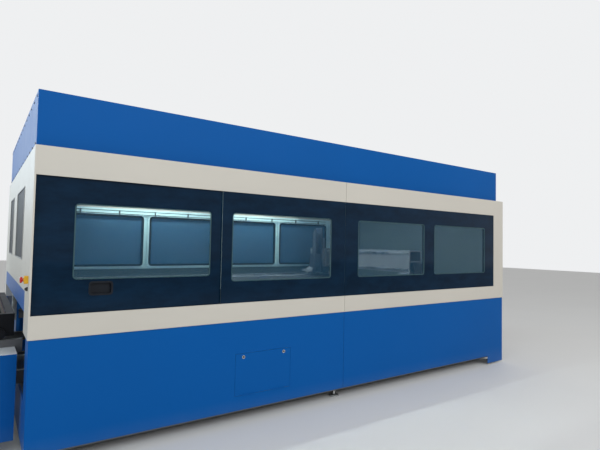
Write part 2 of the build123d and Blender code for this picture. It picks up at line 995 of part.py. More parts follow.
def pallet(name, left, level):
    """A cutting pallet: side and end members, wheels on both sides, and toothed slats."""
    x = (left, left + pallet_length)
    side = (pallet_front, pallet_front + pallet_side)
    z = (level + pallet_ride, level + pallet_ride + pallet_frame_height)
    slat_bottom = level + slat_top_above_rail - slat_height
    inner = (side[1] + touch, cabin_depth - side[1] - touch)
    ledge_z = (slat_bottom - touch - ledge_thickness, slat_bottom - touch)
    ledge_y = (side[1], side[1] + ledge)
    ends = [(x[0], x[0] + pallet_side), (x[1] - pallet_side, x[1])]
    with BuildPart() as frame:
        for y, shelf in zip(both_sides(side), both_sides(ledge_y)):
            block(x, y, z)
            block((ends[0][1] + touch, ends[1][0] - touch), shelf, ledge_z)
        for end in ends:
            block(end, inner, z)
        pitch = (pallet_length - 2 * wheel_radius - 2 * pallet_side) / (wheel_count - 1)
        wheel_y = (side[0] - wheel_gap - wheel_width, side[0] - wheel_gap)
        axle_y = (wheel_y[1] - axle_seat, side[1] + axle_end)
        for index in range(wheel_count):
            centre = (x[0] + pallet_side + wheel_radius + index * pitch, level + wheel_radius)
            for wheel, axle in zip(both_sides(wheel_y), both_sides(axle_y)):
                bar("y", wheel, centre, wheel_radius - touch, wheel_sides)
                bar("y", axle, centre, axle_radius, axle_sides)
    write(frame, f"{name}_pallet_frame")

    first = ends[0][1] + slat_thickness
    last = ends[1][0] - 2 * slat_thickness
    step = (last - first) / (slat_count - 1)
    slats = [slat(first + index * step, level) for index in range(slat_count)]
    write(gathered(slats), f"{name}_pallet_slats")


def exchange_table():
    """The table outside the loading end: tube frame, blue side panels and pale top covers."""
    x = (-table_length, -table_gap)
    inner = (rail_line - table_tube, rail_line)
    post_height = (base_bottom + table_tube + touch, table_mid_tube_top - table_tube - touch)
    upper_post = (table_mid_tube_top + touch, table_top - cover_thickness - table_tube - touch)
    inside = (x[0] + sheet + touch, x[1])
    with BuildPart() as frame:
        for y in both_sides(inner):
            for top in (table_top - cover_thickness, table_mid_tube_top):
                tube(inside, y, (top - table_tube, top), table_tube_wall, "x")
            for index in range(table_post_count):
                low = x[0] + table_post_start + index * table_post_pitch
                for z in (post_height, upper_post):
                    tube((low, low + table_tube), y, z, table_tube_wall, "z")
        for index in range(table_post_count):
            low = x[0] + table_post_start + index * table_post_pitch
            cross = (table_setback + sheet + touch, cabin_depth - table_setback - sheet - touch)
            z = (base_bottom, base_bottom + table_tube)
            tube((low, low + table_tube), cross, z, table_tube_wall, "y")
        upper_tube = table_top - cover_thickness - table_tube
        plate_y = (inner[0], inner[0] + bearing_plate)
        for axis, radius in ((shaft_x, shaft_radius), (-idler_x, axle_radius)):
            for y in both_sides(plate_y):
                plate_x = grown((axis, axis), bearing_plate_length / 2)
                block(plate_x, y, (table_mid_tube_top + touch, upper_tube - touch))
                centre = (axis, chain_axis_height)
                bar("y", y, centre, radius + touch, shaft_sides, mode=Mode.SUBTRACT)
    write(frame, "table_frame")

    z = (table_panel_bottom, table_top - cover_thickness - touch)
    box_depth = bed_beam_width
    sides = [
        folded_panel(front_plane(table_setback), x, z, {"left": box_depth, "top": fold}, -1),
        folded_panel(
            front_plane(cabin_depth - table_setback), x, z, {"left": box_depth, "top": fold}, 1
        ),
    ]
    end_span = (rail_line + touch, cabin_depth - rail_line - touch)
    sides.append(
        folded_panel(
            end_plane(x[0]), end_span, (table_panel_bottom, opening_bottom), {"top": fold}, 1
        )
    )
    write(gathered(sides), "table_side_panels")

    length = (x[1] - x[0] - (cover_sections - 1) * seam) / cover_sections
    covers = []
    for span in row(x[0], (length,) * cover_sections, (seam,) * (cover_sections - 1)):
        for y in both_sides((table_setback, rail_line)):
            plane = floor_plane(table_top)
            with BuildPart() as cover:
                with BuildSketch(plane):
                    rectangle(span, y)
                extrude(amount=-cover_thickness)
            covers.append(cover)
    write(gathered(covers), "table_covers")


def pallet_drive():
    """The chain drive that moves the two pallets opposite ways."""
    y = (table_setback + chain_inset, table_setback + chain_inset + chain_width)
    sprocket_y = grown(y, -(chain_width - sprocket_width) / 2)
    with BuildPart() as shaft:
        side_face = table_setback + sheet + touch + shaft_side_gap
        span = (side_face, cabin_depth - side_face)
        bar("y", span, (shaft_x, chain_axis_height), shaft_radius, shaft_sides)
        for spot in both_sides(sprocket_y):
            bar("y", spot, (shaft_x, chain_axis_height), sprocket_radius, sprocket_teeth)
    write(shaft, "drive_shaft")

    with BuildPart() as idlers:
        stub_end = rail_line - table_tube + 2 * bearing_plate
        stub_span = (sprocket_y[0] - idler_stub, stub_end)
        for spot, stub in zip(both_sides(sprocket_y), both_sides(stub_span)):
            bar("y", spot, (-idler_x, chain_axis_height), sprocket_radius, sprocket_teeth)
            bar("y", stub, (-idler_x, chain_axis_height), axle_radius, shaft_sides)
    write(idlers, "idler_sprockets")

    inner = (sprocket_radius + touch) / cos(radians(90 / corner_steps / 2))
    outer = inner + chain_thickness
    with BuildPart() as chains:
        for spot in both_sides(y):
            with BuildSketch(front_plane(spot[0])):
                for radius, mode in ((outer, Mode.ADD), (inner, Mode.SUBTRACT)):
                    x = grown((shaft_x, -idler_x), radius)
                    rectangle(x, about(chain_axis_height, radius), radius, mode)
            extrude(amount=-chain_width)
    write(chains, "drive_chains")

    with BuildPart() as motor:
        z = grown((chain_axis_height,) * 2, drive_motor_size / 2)
        gear = (y[1] + running_gap, y[1] + running_gap + drive_gear_width)
        block(grown((shaft_x,) * 2, drive_motor_size / 2), across_machine(gear), z)
        centre = (shaft_x, chain_axis_height)
        bar("y", across_machine(gear), centre, shaft_radius + touch, shaft_sides, mode=Mode.SUBTRACT)
        body = (z[0] - drive_motor_length, z[0])
        bar("z", body, (shaft_x, cabin_depth - sum(gear) / 2), drive_gear_width / 2, motor_sides)
    write(motor, "pallet_drive_motor")


def gantry():
    """The gantry on its two rails: beam, saddles, motors and the rails of the carriage."""
    centre = gantry_home
    rail = x_rail_span()
    rail_top = bed_beam_top + linear_rail_height
    saddle_bottom = rail_top + saddle_clearance
    saddle_top = saddle_bottom + saddle_base + saddle_rise
    outer_edge = rack_span()[0] - 2 * pinion_radius - saddle_outer + motor_size / 2
    saddle_y = (outer_edge, bed_front + bed_beam_width - saddle_inner)
    motor_y = rack_span()[0] - pinion_radius - touch
    half = saddle_length / 2
    with BuildPart() as saddles:
        for span, riser, blocks, slot, shaft in zip(
            both_sides(saddle_y),
            both_sides((beam_end, saddle_y[1])),
            both_sides(grown(rail, (block_width - linear_rail_width) / 2)),
            both_sides(grown(rail, touch)),
            (motor_y, cabin_depth - motor_y),
        ):
            block((centre - half, centre + half), span, (saddle_bottom, saddle_bottom + saddle_base))
            with BuildSketch(front_plane(riser[0])):
                with BuildLine():
                    Polyline(
                        (centre - half, saddle_bottom + saddle_base),
                        (centre + half, saddle_bottom + saddle_base),
                        (centre + beam_width / 2, saddle_top),
                        (centre - beam_width / 2, saddle_top),
                        close=True,
                    )
                make_face()
            extrude(amount=-(riser[1] - riser[0]))
            for end in (centre - half + block_length / 2, centre + half - block_length / 2):
                x = grown((end, end), block_length / 2)
                block(x, blocks, (bed_beam_top + block_clearance, saddle_bottom))
                block(x, slot, (bed_beam_top, rail_top + touch), mode=Mode.SUBTRACT)
            hole = (saddle_bottom, saddle_bottom + saddle_base)
            bar("z", hole, (centre, shaft), pinion_shaft + pinion_gap, shaft_sides, mode=Mode.SUBTRACT)
    write(saddles, "gantry_saddles")

    beam_z = (saddle_top + touch, saddle_top + touch + beam_height)
    beam_y = (beam_end, cabin_depth - beam_end)
    with BuildPart() as beam:
        tube(grown((centre,) * 2, beam_width / 2), beam_y, beam_z, beam_wall, "y")
        rib = (beam_z[0] + beam_height / 2 - beam_wall / 2, beam_z[0] + beam_height / 2 + beam_wall / 2)
        block(grown((centre,) * 2, beam_width / 2 - beam_wall), beam_y, rib)
    write(beam, "gantry_beam")

    face = centre - beam_width / 2
    with BuildPart() as rails:
        for z in y_rail_heights(beam_z):
            block((face - y_rail_size, face), grown(beam_y, -y_rail_size), z)
    write(rails, "carriage_rails")

    with BuildPart() as motors:
        for spot in (motor_y, cabin_depth - motor_y):
            low = saddle_bottom + saddle_base + touch
            flange = motor_size / 2
            block(about(centre, flange), about(spot, flange), (low, low + motor_flange))
            body = motor_size / 2 - motor_step
            block(about(centre, body), about(spot, body), (low + motor_flange, low + motor_length))
            bore = (low, low + pinion_bore)
            bar("z", bore, (centre, spot), pinion_shaft + touch, shaft_sides, mode=Mode.SUBTRACT)
    write(motors, "gantry_motors")

    for side, spot in zip(("front", "rear"), (motor_y, cabin_depth - motor_y)):
        with BuildPart() as pinion:
            bottom = bed_beam_top + pinion_clearance
            wheel = (bottom, bottom + pinion_height)
            stem = (bottom, saddle_bottom + saddle_base + pinion_height)
            bar("z", wheel, (centre, spot), pinion_radius, pinion_teeth)
            bar("z", stem, (centre, spot), pinion_shaft, shaft_sides)
        write(pinion, f"pinion_{side}")
    return face, beam_z


def y_rail_heights(beam_z):
    low = beam_z[0] + y_rail_edge
    high = beam_z[1] - y_rail_edge
    return ((low, low + y_rail_size), (high - y_rail_size, high))


def cutting_carriage(face, beam_z):
    """The carriage on the gantry's side and the cutting head that it raises and lowers."""
    middle = carriage_home
    plate_back = face - y_block_depth
    plate_front = plate_back - carriage_plate
    y = grown((middle, middle), carriage_width / 2)
    half_spread = z_rail_spread / 2
    block_depth = z_rail_size + z_rail_gap
    with BuildPart() as carriage:
        block((plate_front, plate_back), y, beam_z)
        for z in y_rail_heights(beam_z):
            y_block = (plate_back, face - running_gap)
            block(y_block, grown(y, -y_block_inset), grown(z, y_block_margin))
            block((face - y_rail_size - touch, face), y, grown(z, touch), mode=Mode.SUBTRACT)
        for side in (-half_spread, half_spread):
            rail_y = grown((middle + side,) * 2, z_rail_size / 2)
            z = (z_block_bottom, z_block_bottom + z_block_height)
            z_block = (plate_front - block_depth, plate_front)
            block(z_block, grown(rail_y, z_block_margin), z)
            slot = (z_block[0], plate_front - z_rail_gap + touch)
            block(slot, grown(rail_y, touch), z, mode=Mode.SUBTRACT)
        motor_x = (plate_front, plate_front + z_motor_size)
        z = (beam_z[1], beam_z[1] + z_motor_length)
        block(motor_x, grown((middle, middle), z_motor_size / 2), z)
    write(carriage, "y_carriage")

    rail_front = plate_front - z_rail_gap - z_rail_size
    plate = (rail_front - head_plate_thickness, rail_front)
    centre = (plate[0] - head_reach, middle)
    with BuildPart() as head:
        z = (head_plate_bottom, head_plate_top)
        block(plate, grown((middle, middle), head_plate_width / 2), z)
        for side in (-half_spread, half_spread):
            rail = (rail_front, plate_front - z_rail_gap)
            block(rail, about(middle + side, z_rail_size / 2), z)
        body = (nozzle_top, nozzle_top + head_body_height)
        body_x = (centre[0] - head_radius, plate[0])
        block(body_x, about(middle, head_radius + head_body_margin), body)
        bar("z", (body[1], head_top), centre, head_radius - head_barrel_step, head_sides)
        bar("z", (head_top, head_top + head_cap_height), centre, head_radius / 2, head_sides)
        arm = [body[1] + rise for rise in head_arm_rise]
        block((centre[0], plate[0]), about(middle, head_arm_half), arm)
        for low, high, radius, collar, narrowing in (
            (tip_top, nozzle_top, nozzle_radius, nozzle_collar, nozzle_narrowing),
            (nozzle_tip, tip_top, tip_radius, tip_collar, tip_narrowing),
        ):
            bar("z", (low, high), centre, radius, head_sides)
            end = head.faces().sort_by(Axis.Z)[0]
            chamfer(end.edges(), narrowing, high - low - collar, reference=end)
    write(head, "cutting_head")


def cable_trough():
    """The open trough on the rear bed beam, with the resting part of the cable chain in it."""
    y = across_machine((bed_front - touch - trough_width, bed_front - touch))
    z = (bed_beam_top - trough_height, bed_beam_top - trough_drop)
    x = (trough_left, bed_right - trough_end_gap)
    with BuildPart() as trough:
        block(x, y, z)
        inside = (z[0] + trough_wall, z[1])
        block(x, grown(y, -trough_wall), inside, mode=Mode.SUBTRACT)
    write(trough, "cable_trough")

    with BuildPart() as links:
        for index in range(chain_links):
            low = x[0] + chain_link_start + index * (chain_link + chain_link_gap)
            bottom = z[0] + trough_wall + touch
            inset = chain_link_insets[index % 2]
            block((low, low + chain_link), grown(y, -inset), (bottom, bottom + chain_link_height))
    write(links, "cable_chain")


def controls():
    """The emergency stop and the key switch on the loading end."""
    collar = (-estop_box_depth - estop_collar, -estop_box_depth)
    centre = (estop_y, estop_z)
    with BuildPart() as housing:
        face = about(estop_y, estop_box / 2)
        block((-estop_box_depth, 0), face, about(estop_z, estop_box / 2))
        chamfer(housing.edges().filter_by(Axis.X), estop_edge)
        bar("x", collar, centre, estop_collar_radius, estop_sides)
        hole = (collar[0], collar[0] + estop_bore)
        bar("x", hole, centre, estop_stem_radius + touch, estop_sides, mode=Mode.SUBTRACT)
    write(housing, "estop_housing")

    with BuildPart() as button:
        back = collar[0] - estop_travel - estop_gap
        head = (back - estop_head, back)
        bar("x", head, centre, estop_head_radius, estop_sides)
        chamfer(button.faces().sort_by(Axis.X)[0].edges(), estop_edge)
        bar("x", (back, back + estop_stem), centre, estop_stem_radius, estop_sides)
    write(button, "estop_button")

    spot = (key_y, key_z)
    with BuildPart() as key:
        bar("x", (-key_depth, -touch), spot, key_radius, key_sides)
        bow = (-key_depth - key_bow, -key_depth)
        block(bow, about(key_y, key_bow_width / 2), about(key_z, key_radius - key_bow_inset))
    write(key, "key_switch")


def levelling_feet():
    """One foot under each frame tube's end, each bed beam and each table cross tube."""
    post_y = both_sides((post_setback, post_setback + post_size))
    spots = [(x + post_size / 2, sum(y) / 2) for x in posts_x for y in post_y]
    beam_y = both_sides((bed_front, bed_front + bed_beam_width))
    bed_pitch = (bed_right - bed_left - 2 * bed_foot_inset) / (bed_feet - 1)
    for index in range(bed_feet):
        x = bed_left + bed_foot_inset + index * bed_pitch
        spots += [(x, sum(y) / 2) for y in beam_y]
    table_y = table_setback + table_foot_inset
    for index in range(table_post_count):
        x = -table_length + table_post_start + index * table_post_pitch + table_tube / 2
        spots += [(x, table_y), (x, cabin_depth - table_y)]
    with BuildPart() as feet:
        with BuildSketch(floor_plane(0)):
            with Locations(*spots):
                RegularPolygon(foot_radius, foot_sides)
        extrude(amount=foot_pad)
        with BuildSketch(floor_plane(foot_pad)):
            with Locations(*spots):
                RegularPolygon(foot_stud, stud_sides)
        extrude(amount=base_bottom - foot_pad)
    write(feet, "levelling_feet")


cabin_frame()
roof_panels()
fascia()
front_and_rear_frames()
glazing()
lower_panels()
service_hatch()
front_door()
door_track()
loading_end()
loading_door()
machine_bed()
pallet_rails()
pallet("upper", pallet_inner_left - pallet_travel, upper_rail_top)
pallet("lower", pallet_inner_left, lower_rail_top)
exchange_table()
pallet_drive()
beam_face, beam_heights = gantry()
cutting_carriage(beam_face, beam_heights)
cable_trough()
controls()
levelling_feet()
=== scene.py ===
"""Finishes, small parts and stage for the enclosed sheet laser cutting machine."""

import json
import math

import bmesh
import bpy
from bpy.props import FloatProperty, FloatVectorProperty, IntProperty, PointerProperty
from bpy.types import Operator, Panel, PropertyGroup
from mathutils import Matrix, Vector


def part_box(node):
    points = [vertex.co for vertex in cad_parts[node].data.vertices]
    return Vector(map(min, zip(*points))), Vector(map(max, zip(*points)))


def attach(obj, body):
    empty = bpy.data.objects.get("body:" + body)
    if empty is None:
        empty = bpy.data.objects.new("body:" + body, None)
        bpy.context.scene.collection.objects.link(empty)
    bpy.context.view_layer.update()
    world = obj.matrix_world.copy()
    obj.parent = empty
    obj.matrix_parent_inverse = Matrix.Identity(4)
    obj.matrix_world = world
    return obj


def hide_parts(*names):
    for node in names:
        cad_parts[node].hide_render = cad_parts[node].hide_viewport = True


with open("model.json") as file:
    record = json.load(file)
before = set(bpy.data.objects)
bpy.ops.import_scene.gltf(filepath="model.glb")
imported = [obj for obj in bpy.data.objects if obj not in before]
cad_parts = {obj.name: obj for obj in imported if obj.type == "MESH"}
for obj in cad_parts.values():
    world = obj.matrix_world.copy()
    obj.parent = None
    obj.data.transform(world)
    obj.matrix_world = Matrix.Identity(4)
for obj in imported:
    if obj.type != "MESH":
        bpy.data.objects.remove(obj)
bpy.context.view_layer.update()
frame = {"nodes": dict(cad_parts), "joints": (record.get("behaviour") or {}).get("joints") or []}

bl_info = {
    "name": "Sheet Laser Cutter",
    "version": (1, 0, 0),
    "blender": (4, 5, 0),
    "location": "View3D > Sidebar > Laser Cutter",
    "description": "Gives the packed sheet laser cutting machine its finishes, small parts and stage",
    "category": "Object",
}

MM = 0.001
CABIN_CORNER = Vector((-0.765, -1.39, 0))
CABIN_DEPTH = 2780

# Windows in millimetres: their sides along the wall, and their lower and upper edges.
FRONT_WINDOWS = ((1345, 2336), (2660, 3610), (3770, 4710))
FRONT_WINDOW_HEIGHT = (1105, 1637)
DOOR_WINDOWS = ((235, 1175),)
DOOR_WINDOW_HEIGHT = (1150, 1637)
REAR_WINDOWS = ((569, 1444), (1566, 2441), (2563, 3438), (3560, 4435))
REAR_WINDOW_HEIGHT = (1110, 1700)
END_WINDOWS = ((640, 1370), (1785, 2275))
END_WINDOW_HEIGHT = (1255, 1785)

# Faces in millimetres off the cabin's front, and for the end's seals and films off its left end.
GLASS_FACE = 3.2
DOOR_GLASS_FACE = 18.2
FRAME_FACES = (31, CABIN_DEPTH - 31)
END_SEAL_FACE = 2.8
FILM_FACE = 2.9

# Sizes in metres.
POST_SIZE = 0.08
SEAL_STANDOUT = 0.001
SEAL_CLEARANCE = 0.0006
PANE_CORNER = 0.025
END_PANE_CORNER = 0.003
FRAME_INNER_EDGE = 0.0123
# LINING_FOOT is the height below which the bands' inner lining is darkened as painted shade.
FRONT_ZONE = 0.1
LINING_FOOT = 1.05
DUST_HEIGHT = 0.2
HEAT_DEPTH = 0.05
END_PANEL_SHEET = 0.003
COAT_GRAIN = 0.00012
PLATE_GAP = Vector((0.0015, 0.0015, 0))

FACING_FRONT = Matrix(((1, 0, 0), (0, 0, -1), (0, 1, 0))).to_4x4()
FACING_REAR = Matrix(((-1, 0, 0), (0, 0, 1), (0, 1, 0))).to_4x4()
FACING_LEFT = Matrix(((0, 0, -1), (-1, 0, 0), (0, 1, 0))).to_4x4()

# How a metal's fine pattern is stretched, into lines along or across an axis.
ALONG_X, ALONG_Y, ALONG_Z = (1, 60, 60), (60, 1, 60), (60, 60, 1)
ACROSS_X, ACROSS_Y, ACROSS_Z = (60, 1, 1), (1, 60, 1), (1, 1, 40)
EVEN = (1, 1, 1)

BLACK, WHITE, DUST = (0, 0, 0), (1, 1, 1), (0.3, 0.3, 0.29)
MASK_STEEPNESS = 4000
SMOOTH_ANGLE = math.radians(35)

# A face looks up or down where its normal has at least this much of Z.
LEVEL = 0.9


def from_corner(x, y, z):
    """A place in metres from millimetres off the cabin's front left corner."""
    return CABIN_CORNER + Vector((x, y, z)) * MM


def colour_setting(name, description, default):
    return FloatVectorProperty(
        name=name, description=description, default=default, subtype="COLOR", min=0, max=1
    )


def length_setting(name, description, default):
    return FloatProperty(
        name=name, description=description, default=default, subtype="DISTANCE", unit="LENGTH"
    )


def angle_setting(name, description, degrees):
    return FloatProperty(
        name=name, description=description, default=math.radians(degrees), subtype="ANGLE"
    )


def power_setting(name, description, default):
    return FloatProperty(name=name, description=description, default=default, unit="POWER")


class PaintSettings(PropertyGroup):
    """The machine's paint and glass colours."""

    white: colour_setting("White", "Cabin frame paint", (0.53, 0.5, 0.443))
    blue: colour_setting("Blue", "Fascia and lower panel paint", (0.0015, 0.083, 0.31))
    band: colour_setting("Dark glass", "Colour behind the dark band's glass", (0.002, 0.011, 0.026))
    lining: colour_setting("Lining", "Inner side of the bands and window frames", (0.6, 0.82, 0.82))
    clear_pane: colour_setting("Front windows", "Tint of the front window panes", (0.015, 0.06, 0.11))
    dark_pane: colour_setting("Other windows", "Tint of the rear and end panes", (0.055, 0.14, 0.235))
    door_frame: colour_setting("Door frame", "Frame behind the sliding door", (0.012, 0.02, 0.03))
    pallet: colour_setting("Pallets", "Enamel of the pallet frames", (0.005, 0.0055, 0.008))
    structure: colour_setting("Structure", "Cabin and table tube frames", (0.16, 0.17, 0.18))
    bed: colour_setting("Bed", "Machine bed and saddles", (0.2, 0.23, 0.25))
    alarm_red: colour_setting("Stop button", "Emergency stop button", (0.52, 0.012, 0.01))
    alarm_yellow: colour_setting("Stop box", "Emergency stop housing", (0.78, 0.42, 0.01))


class DetailSettings(PropertyGroup):
    """Sizes of the small parts."""

    screw_radius: length_setting("Screw radius", "Head radius of the fascia screws", 0.007)
    screw_height: length_setting("Screw height", "Head height of the fascia screws", 0.004)
    screw_pitch: length_setting("Screw pitch", "Distance between fascia screws", 0.19)
    screw_inset: length_setting("Screw inset", "Distance of the screws from the fascia's edges", 0.03)
    seal_width: length_setting("Seal width", "Width of the window seals", 0.008)
    seal_depth: length_setting("Seal depth", "Depth of the window seals", 0.0066)
    gasket_radius: length_setting("Gasket radius", "Outer corner radius of the inner gaskets", 0.045)
    gasket_lap: length_setting("Gasket lap", "How far the gaskets lie on the window frames", 0.0132)
    gasket_height: length_setting("Gasket height", "How far the gaskets stand proud", 0.005)
    slat_pitch: length_setting("Slat pitch", "Distance between the support slats", 0.08)
    tooth_pitch: length_setting("Tooth pitch", "Distance between the slats' teeth", 0.071)
    nut_radius: length_setting("Nut radius", "Corner radius of the levelling nuts", 0.021)
    pad_radius: length_setting("Pad radius", "Radius of the levelling pads", 0.0445)
    light_width: length_setting("Light width", "Width of the lights inside the cabin", 0.05)
    insert_radius: length_setting("Lock insert radius", "Radius of the locks' inserts", 0.0075)
    pipe_radius: length_setting("Pipe radius", "Radius of the pipes on the rear side", 0.005)
    corner_segments: IntProperty(
        name="Corner segments", description="Steps in a rounded corner", default=5, min=1, max=12
    )


class StageSettings(PropertyGroup):
    """Camera, lamps and floor."""

    camera_place: FloatVectorProperty(
        name="Camera place", description="Where the camera stands",
        default=(-1.0282, -4.5713, 1.4039), subtype="TRANSLATION", unit="LENGTH",
    )
    yaw: angle_setting("Yaw", "Turn of the view from the depth axis towards the right", 35.2337)
    pitch: angle_setting("Pitch", "Upward tilt of the view", 2.3986)
    roll: angle_setting("Roll", "Turn of the view about its axis", 1.1)
    lens: FloatProperty(name="Lens", description="Focal length in millimetres", default=27.287, min=1)
    floor: colour_setting("Floor", "Colour of the floor", (0.74, 0.74, 0.73))
    backdrop: colour_setting("Backdrop", "Colour behind the machine", (0.86, 0.87, 0.88))
    world_strength: FloatProperty(name="World", description="Strength of the even light", default=0.48)
    key_power: power_setting("Key lamp", "Power of the large lamp", 375)
    end_power: power_setting("End lamp", "Power of the lamp beyond the loading end", 280)
    left_power: power_setting("Left lamp", "Power of the lamp left of the table", 230)
    end_colour: colour_setting("End light", "Colour of the light at the loading end", (0.74, 0.89, 1.0))


class Value:
    """A shader socket that Python's arithmetic adds Math nodes to."""

    def __init__(self, tree, socket):
        self.tree = tree
        self.socket = socket

    def math(self, operation, *others, clamp=False):
        settings = {"operation": operation, "use_clamp": clamp}
        return self.tree.add("ShaderNodeMath", settings, dict(enumerate((self, *others))))

    def __add__(self, other):
        return self.math("ADD", other)

    __radd__ = __add__

    def __mul__(self, other):
        return self.math("MULTIPLY", other)

    __rmul__ = __mul__

    def __sub__(self, other):
        return self.math("SUBTRACT", other)

    def __rsub__(self, other):
        return (self * -1).math("ADD", other)

    def clamped(self):
        return self.math("ADD", 0, clamp=True)


class NodeTree:
    """The nodes of a material or the world, which all come from one method."""

    def __init__(self, owner):
        owner.use_nodes = True
        self.owner = owner
        self.tree = owner.node_tree

    def add(self, kind, settings=None, sockets=None, output=0):
        """Adds a node: its settings first, then the values or links of its sockets."""
        node = self.tree.nodes.new(kind)
        for name, value in (settings or {}).items():
            if name == "stops":
                ramp = node.color_ramp
                while len(ramp.elements) < len(value):
                    ramp.elements.new(1)
                for stop, (place, colour) in zip(ramp.elements, value):
                    stop.position = place
                    stop.color = (*colour, 1)
            else:
                setattr(node, name, value)
        for name, value in (sockets or {}).items():
            self.feed(node.inputs[name], value)
        return Value(self, node.outputs[output])

    def feed(self, socket, value):
        if isinstance(value, Value):
            self.tree.links.new(value.socket, socket)
        elif hasattr(value, "__len__") and len(value) == 3 and socket.type == "RGBA":
            socket.default_value = (*value, 1)
        else:
            socket.default_value = value


class Finish(NodeTree):
    """A material with the patterns and masks that the finishes are made of."""

    def __init__(self, name):
        super().__init__(bpy.data.materials.new(name))
        self.shader = self.tree.nodes["Principled BSDF"]

    def place(self):
        return self.add("ShaderNodeTexCoord", output="Object")

    def stretched(self, scale):
        """Object coordinates with each axis scaled."""
        return self.add("ShaderNodeMapping", None, {"Vector": self.place(), "Scale": scale})

    def along(self, axis):
        return self.add("ShaderNodeSeparateXYZ", None, {0: self.place()}, output=axis)

    def beyond(self, axis, limit, inward):
        """A mask: 1 past the limit along the axis, in the direction inward, else 0."""
        return ((self.along(axis) - limit) * (inward * MASK_STEEPNESS)).clamped()

    def noise(self, scale, detail, vector=None, roughness=0.5):
        return self.add("ShaderNodeTexNoise", None, {
            "Vector": vector or self.place(), "Scale": scale, "Detail": detail, "Roughness": roughness
        })

    def ramp(self, value, *stops):
        return self.add("ShaderNodeValToRGB", {"stops": stops}, {0: value})

    def between(self, factor, first, second):
        """A colour between two colours."""
        sockets = {0: factor, 6: first, 7: second}
        return self.add("ShaderNodeMix", {"data_type": "RGBA"}, sockets, output=2)

    def patches(self, value, low, high):
        """A mask: 0 where the value is under the low limit, and 1 above the high one."""
        return self.ramp(value, (low, BLACK), (high, WHITE))

    def shades(self, mask, colour, first, second):
        """A colour in two shades: the first where the mask is 0, the second where it is 1."""
        return self.between(mask, shade(colour, first), shade(colour, second))

    def coat(self, colour):
        """A sprayed coat's colour, a little uneven over a metre."""
        return self.shades(self.noise(0.9, 3), colour, 0.93, 1.06)

    def bump(self, height, distance):
        return self.add("ShaderNodeBump", None, {"Height": height, "Distance": distance})

    def set(self, **sockets):
        """Sets the shader's sockets; an underscore stands for a space."""
        for name, value in sockets.items():
            self.feed(self.shader.inputs[name.replace("_", " ")], value)
        return self.owner


def shade(colour, factor):
    return tuple(min(1.0, part * factor) for part in colour)


def powder_coat(name, colour, roughness=0.42, gloss=0.3):
    """Sheet metal with a fine textured coat, a little uneven, dusty near the floor."""
    f = Finish(name)
    handled = f.noise(5.5, 5, roughness=0.65)
    low = (1 - f.along("Z") * (1 / DUST_HEIGHT)).clamped()
    dust = (low * handled * 0.16).clamped()
    return f.set(
        Base_Color=f.between(dust, f.coat(colour), DUST),
        Roughness=roughness + handled * 0.12 + dust * 0.25,
        Specular_IOR_Level=gloss,
        Normal=f.bump(f.noise(520, 2), COAT_GRAIN),
    )


def coat_with_painted_shade(name, colour, lining, face):
    """The end panels' textured coat, with the lining's colour darkened as painted shade on the inner
    side of the right end.
    """
    f = Finish(name)
    handled = f.noise(5.5, 5, roughness=0.65)
    inner = (f.beyond("X", face - END_PANEL_SHEET / 2, -1) * f.beyond("X", 0, 1)).clamped()
    return f.set(
        # Painted shade: the right end's inner side takes the lining's colour darkened to 0.29.
        Base_Color=f.between(inner, f.coat(colour), shade(lining, 0.29)),
        Roughness=0.42 + handled * 0.12,
        Specular_IOR_Level=0.3,
        Normal=f.bump(f.noise(520, 2), COAT_GRAIN),
    )


def band_glass(name, colour, lining, middle, inward):
    """Glass with a dark coat and a deep gloss, lighter in patches as painted reflection, and on its
    inner side a lining, darker at its foot as painted shade.
    """
    f = Finish(name)
    smear = f.noise(3.5, 6, vector=f.stretched((1, 1, 2.6)), roughness=0.7)
    inner = f.beyond("Y", middle, inward)
    # Painted reflection: the smear's patches make the dark coat up to 1.9 times lighter; the smear's
    # real part is its roughness.
    outside = f.shades(f.patches(smear, 0.35, 0.8), colour, 1, 1.9)
    # Painted shade: the lining is darkened to 0.2 of its colour below LINING_FOOT.
    inside = f.shades(f.beyond("Z", LINING_FOOT, -1), lining, 1, 0.2)
    return f.set(
        Base_Color=f.between(inner, outside, inside),
        Roughness=0.035 + smear * 0.05 + inner * 0.4,
        IOR=1.45,
        Specular_IOR_Level=0.1,
        Normal=f.bump(f.noise(1.1, 1), 0.0015),
    )


def tinted_pane(name, front, other):
    """A tinted laser-safe pane: the front ones clearer, the rear and end ones darker."""
    f = Finish(name)
    smear = f.noise(4.0, 5, roughness=0.65)
    behind = f.beyond("Y", CABIN_CORNER.y + FRONT_ZONE, 1)
    tint = f.between(behind, front, other)
    return f.set(
        Base_Color=f.between(smear * 0.3, tint, shade(front, 1.6)),
        Roughness=0.03 + smear * 0.04,
        Alpha=0.24 + behind * 0.62 + smear * 0.1,
        Specular_IOR_Level=0.16,
    )


def painted_shade_film(name, colour):
    """A dark film on a pane as painted shade for the dark cabin behind it, a little streaky and nearly
    without a mirror.
    """
    f = Finish(name)
    streak = f.noise(2.4, 5, vector=f.stretched((1, 2.6, 0.5)), roughness=0.6)
    return f.set(
        Base_Color=f.shades(streak, colour, 0.6, 1.7),
        Roughness=0.3 + streak * 0.2,
        Alpha=0.82 + streak * 0.14,
        Specular_IOR_Level=0.02,
    )


def enamel(name, colour, roughness=0.48, gloss=0.5):
    """Brushed-on machine enamel over steel, with oily patches."""
    f = Finish(name)
    patch = f.noise(3.0, 6, roughness=0.6)
    oil = f.patches(f.noise(1.7, 4), 0.5, 0.72)
    return f.set(
        Base_Color=f.between(oil, f.shades(patch, colour, 0.8, 1.15), shade(colour, 0.6)),
        Roughness=roughness + patch * 0.15 - oil * 0.18,
        Specular_IOR_Level=gloss,
        Normal=f.bump(f.noise(160, 3), 0.0003),
    )


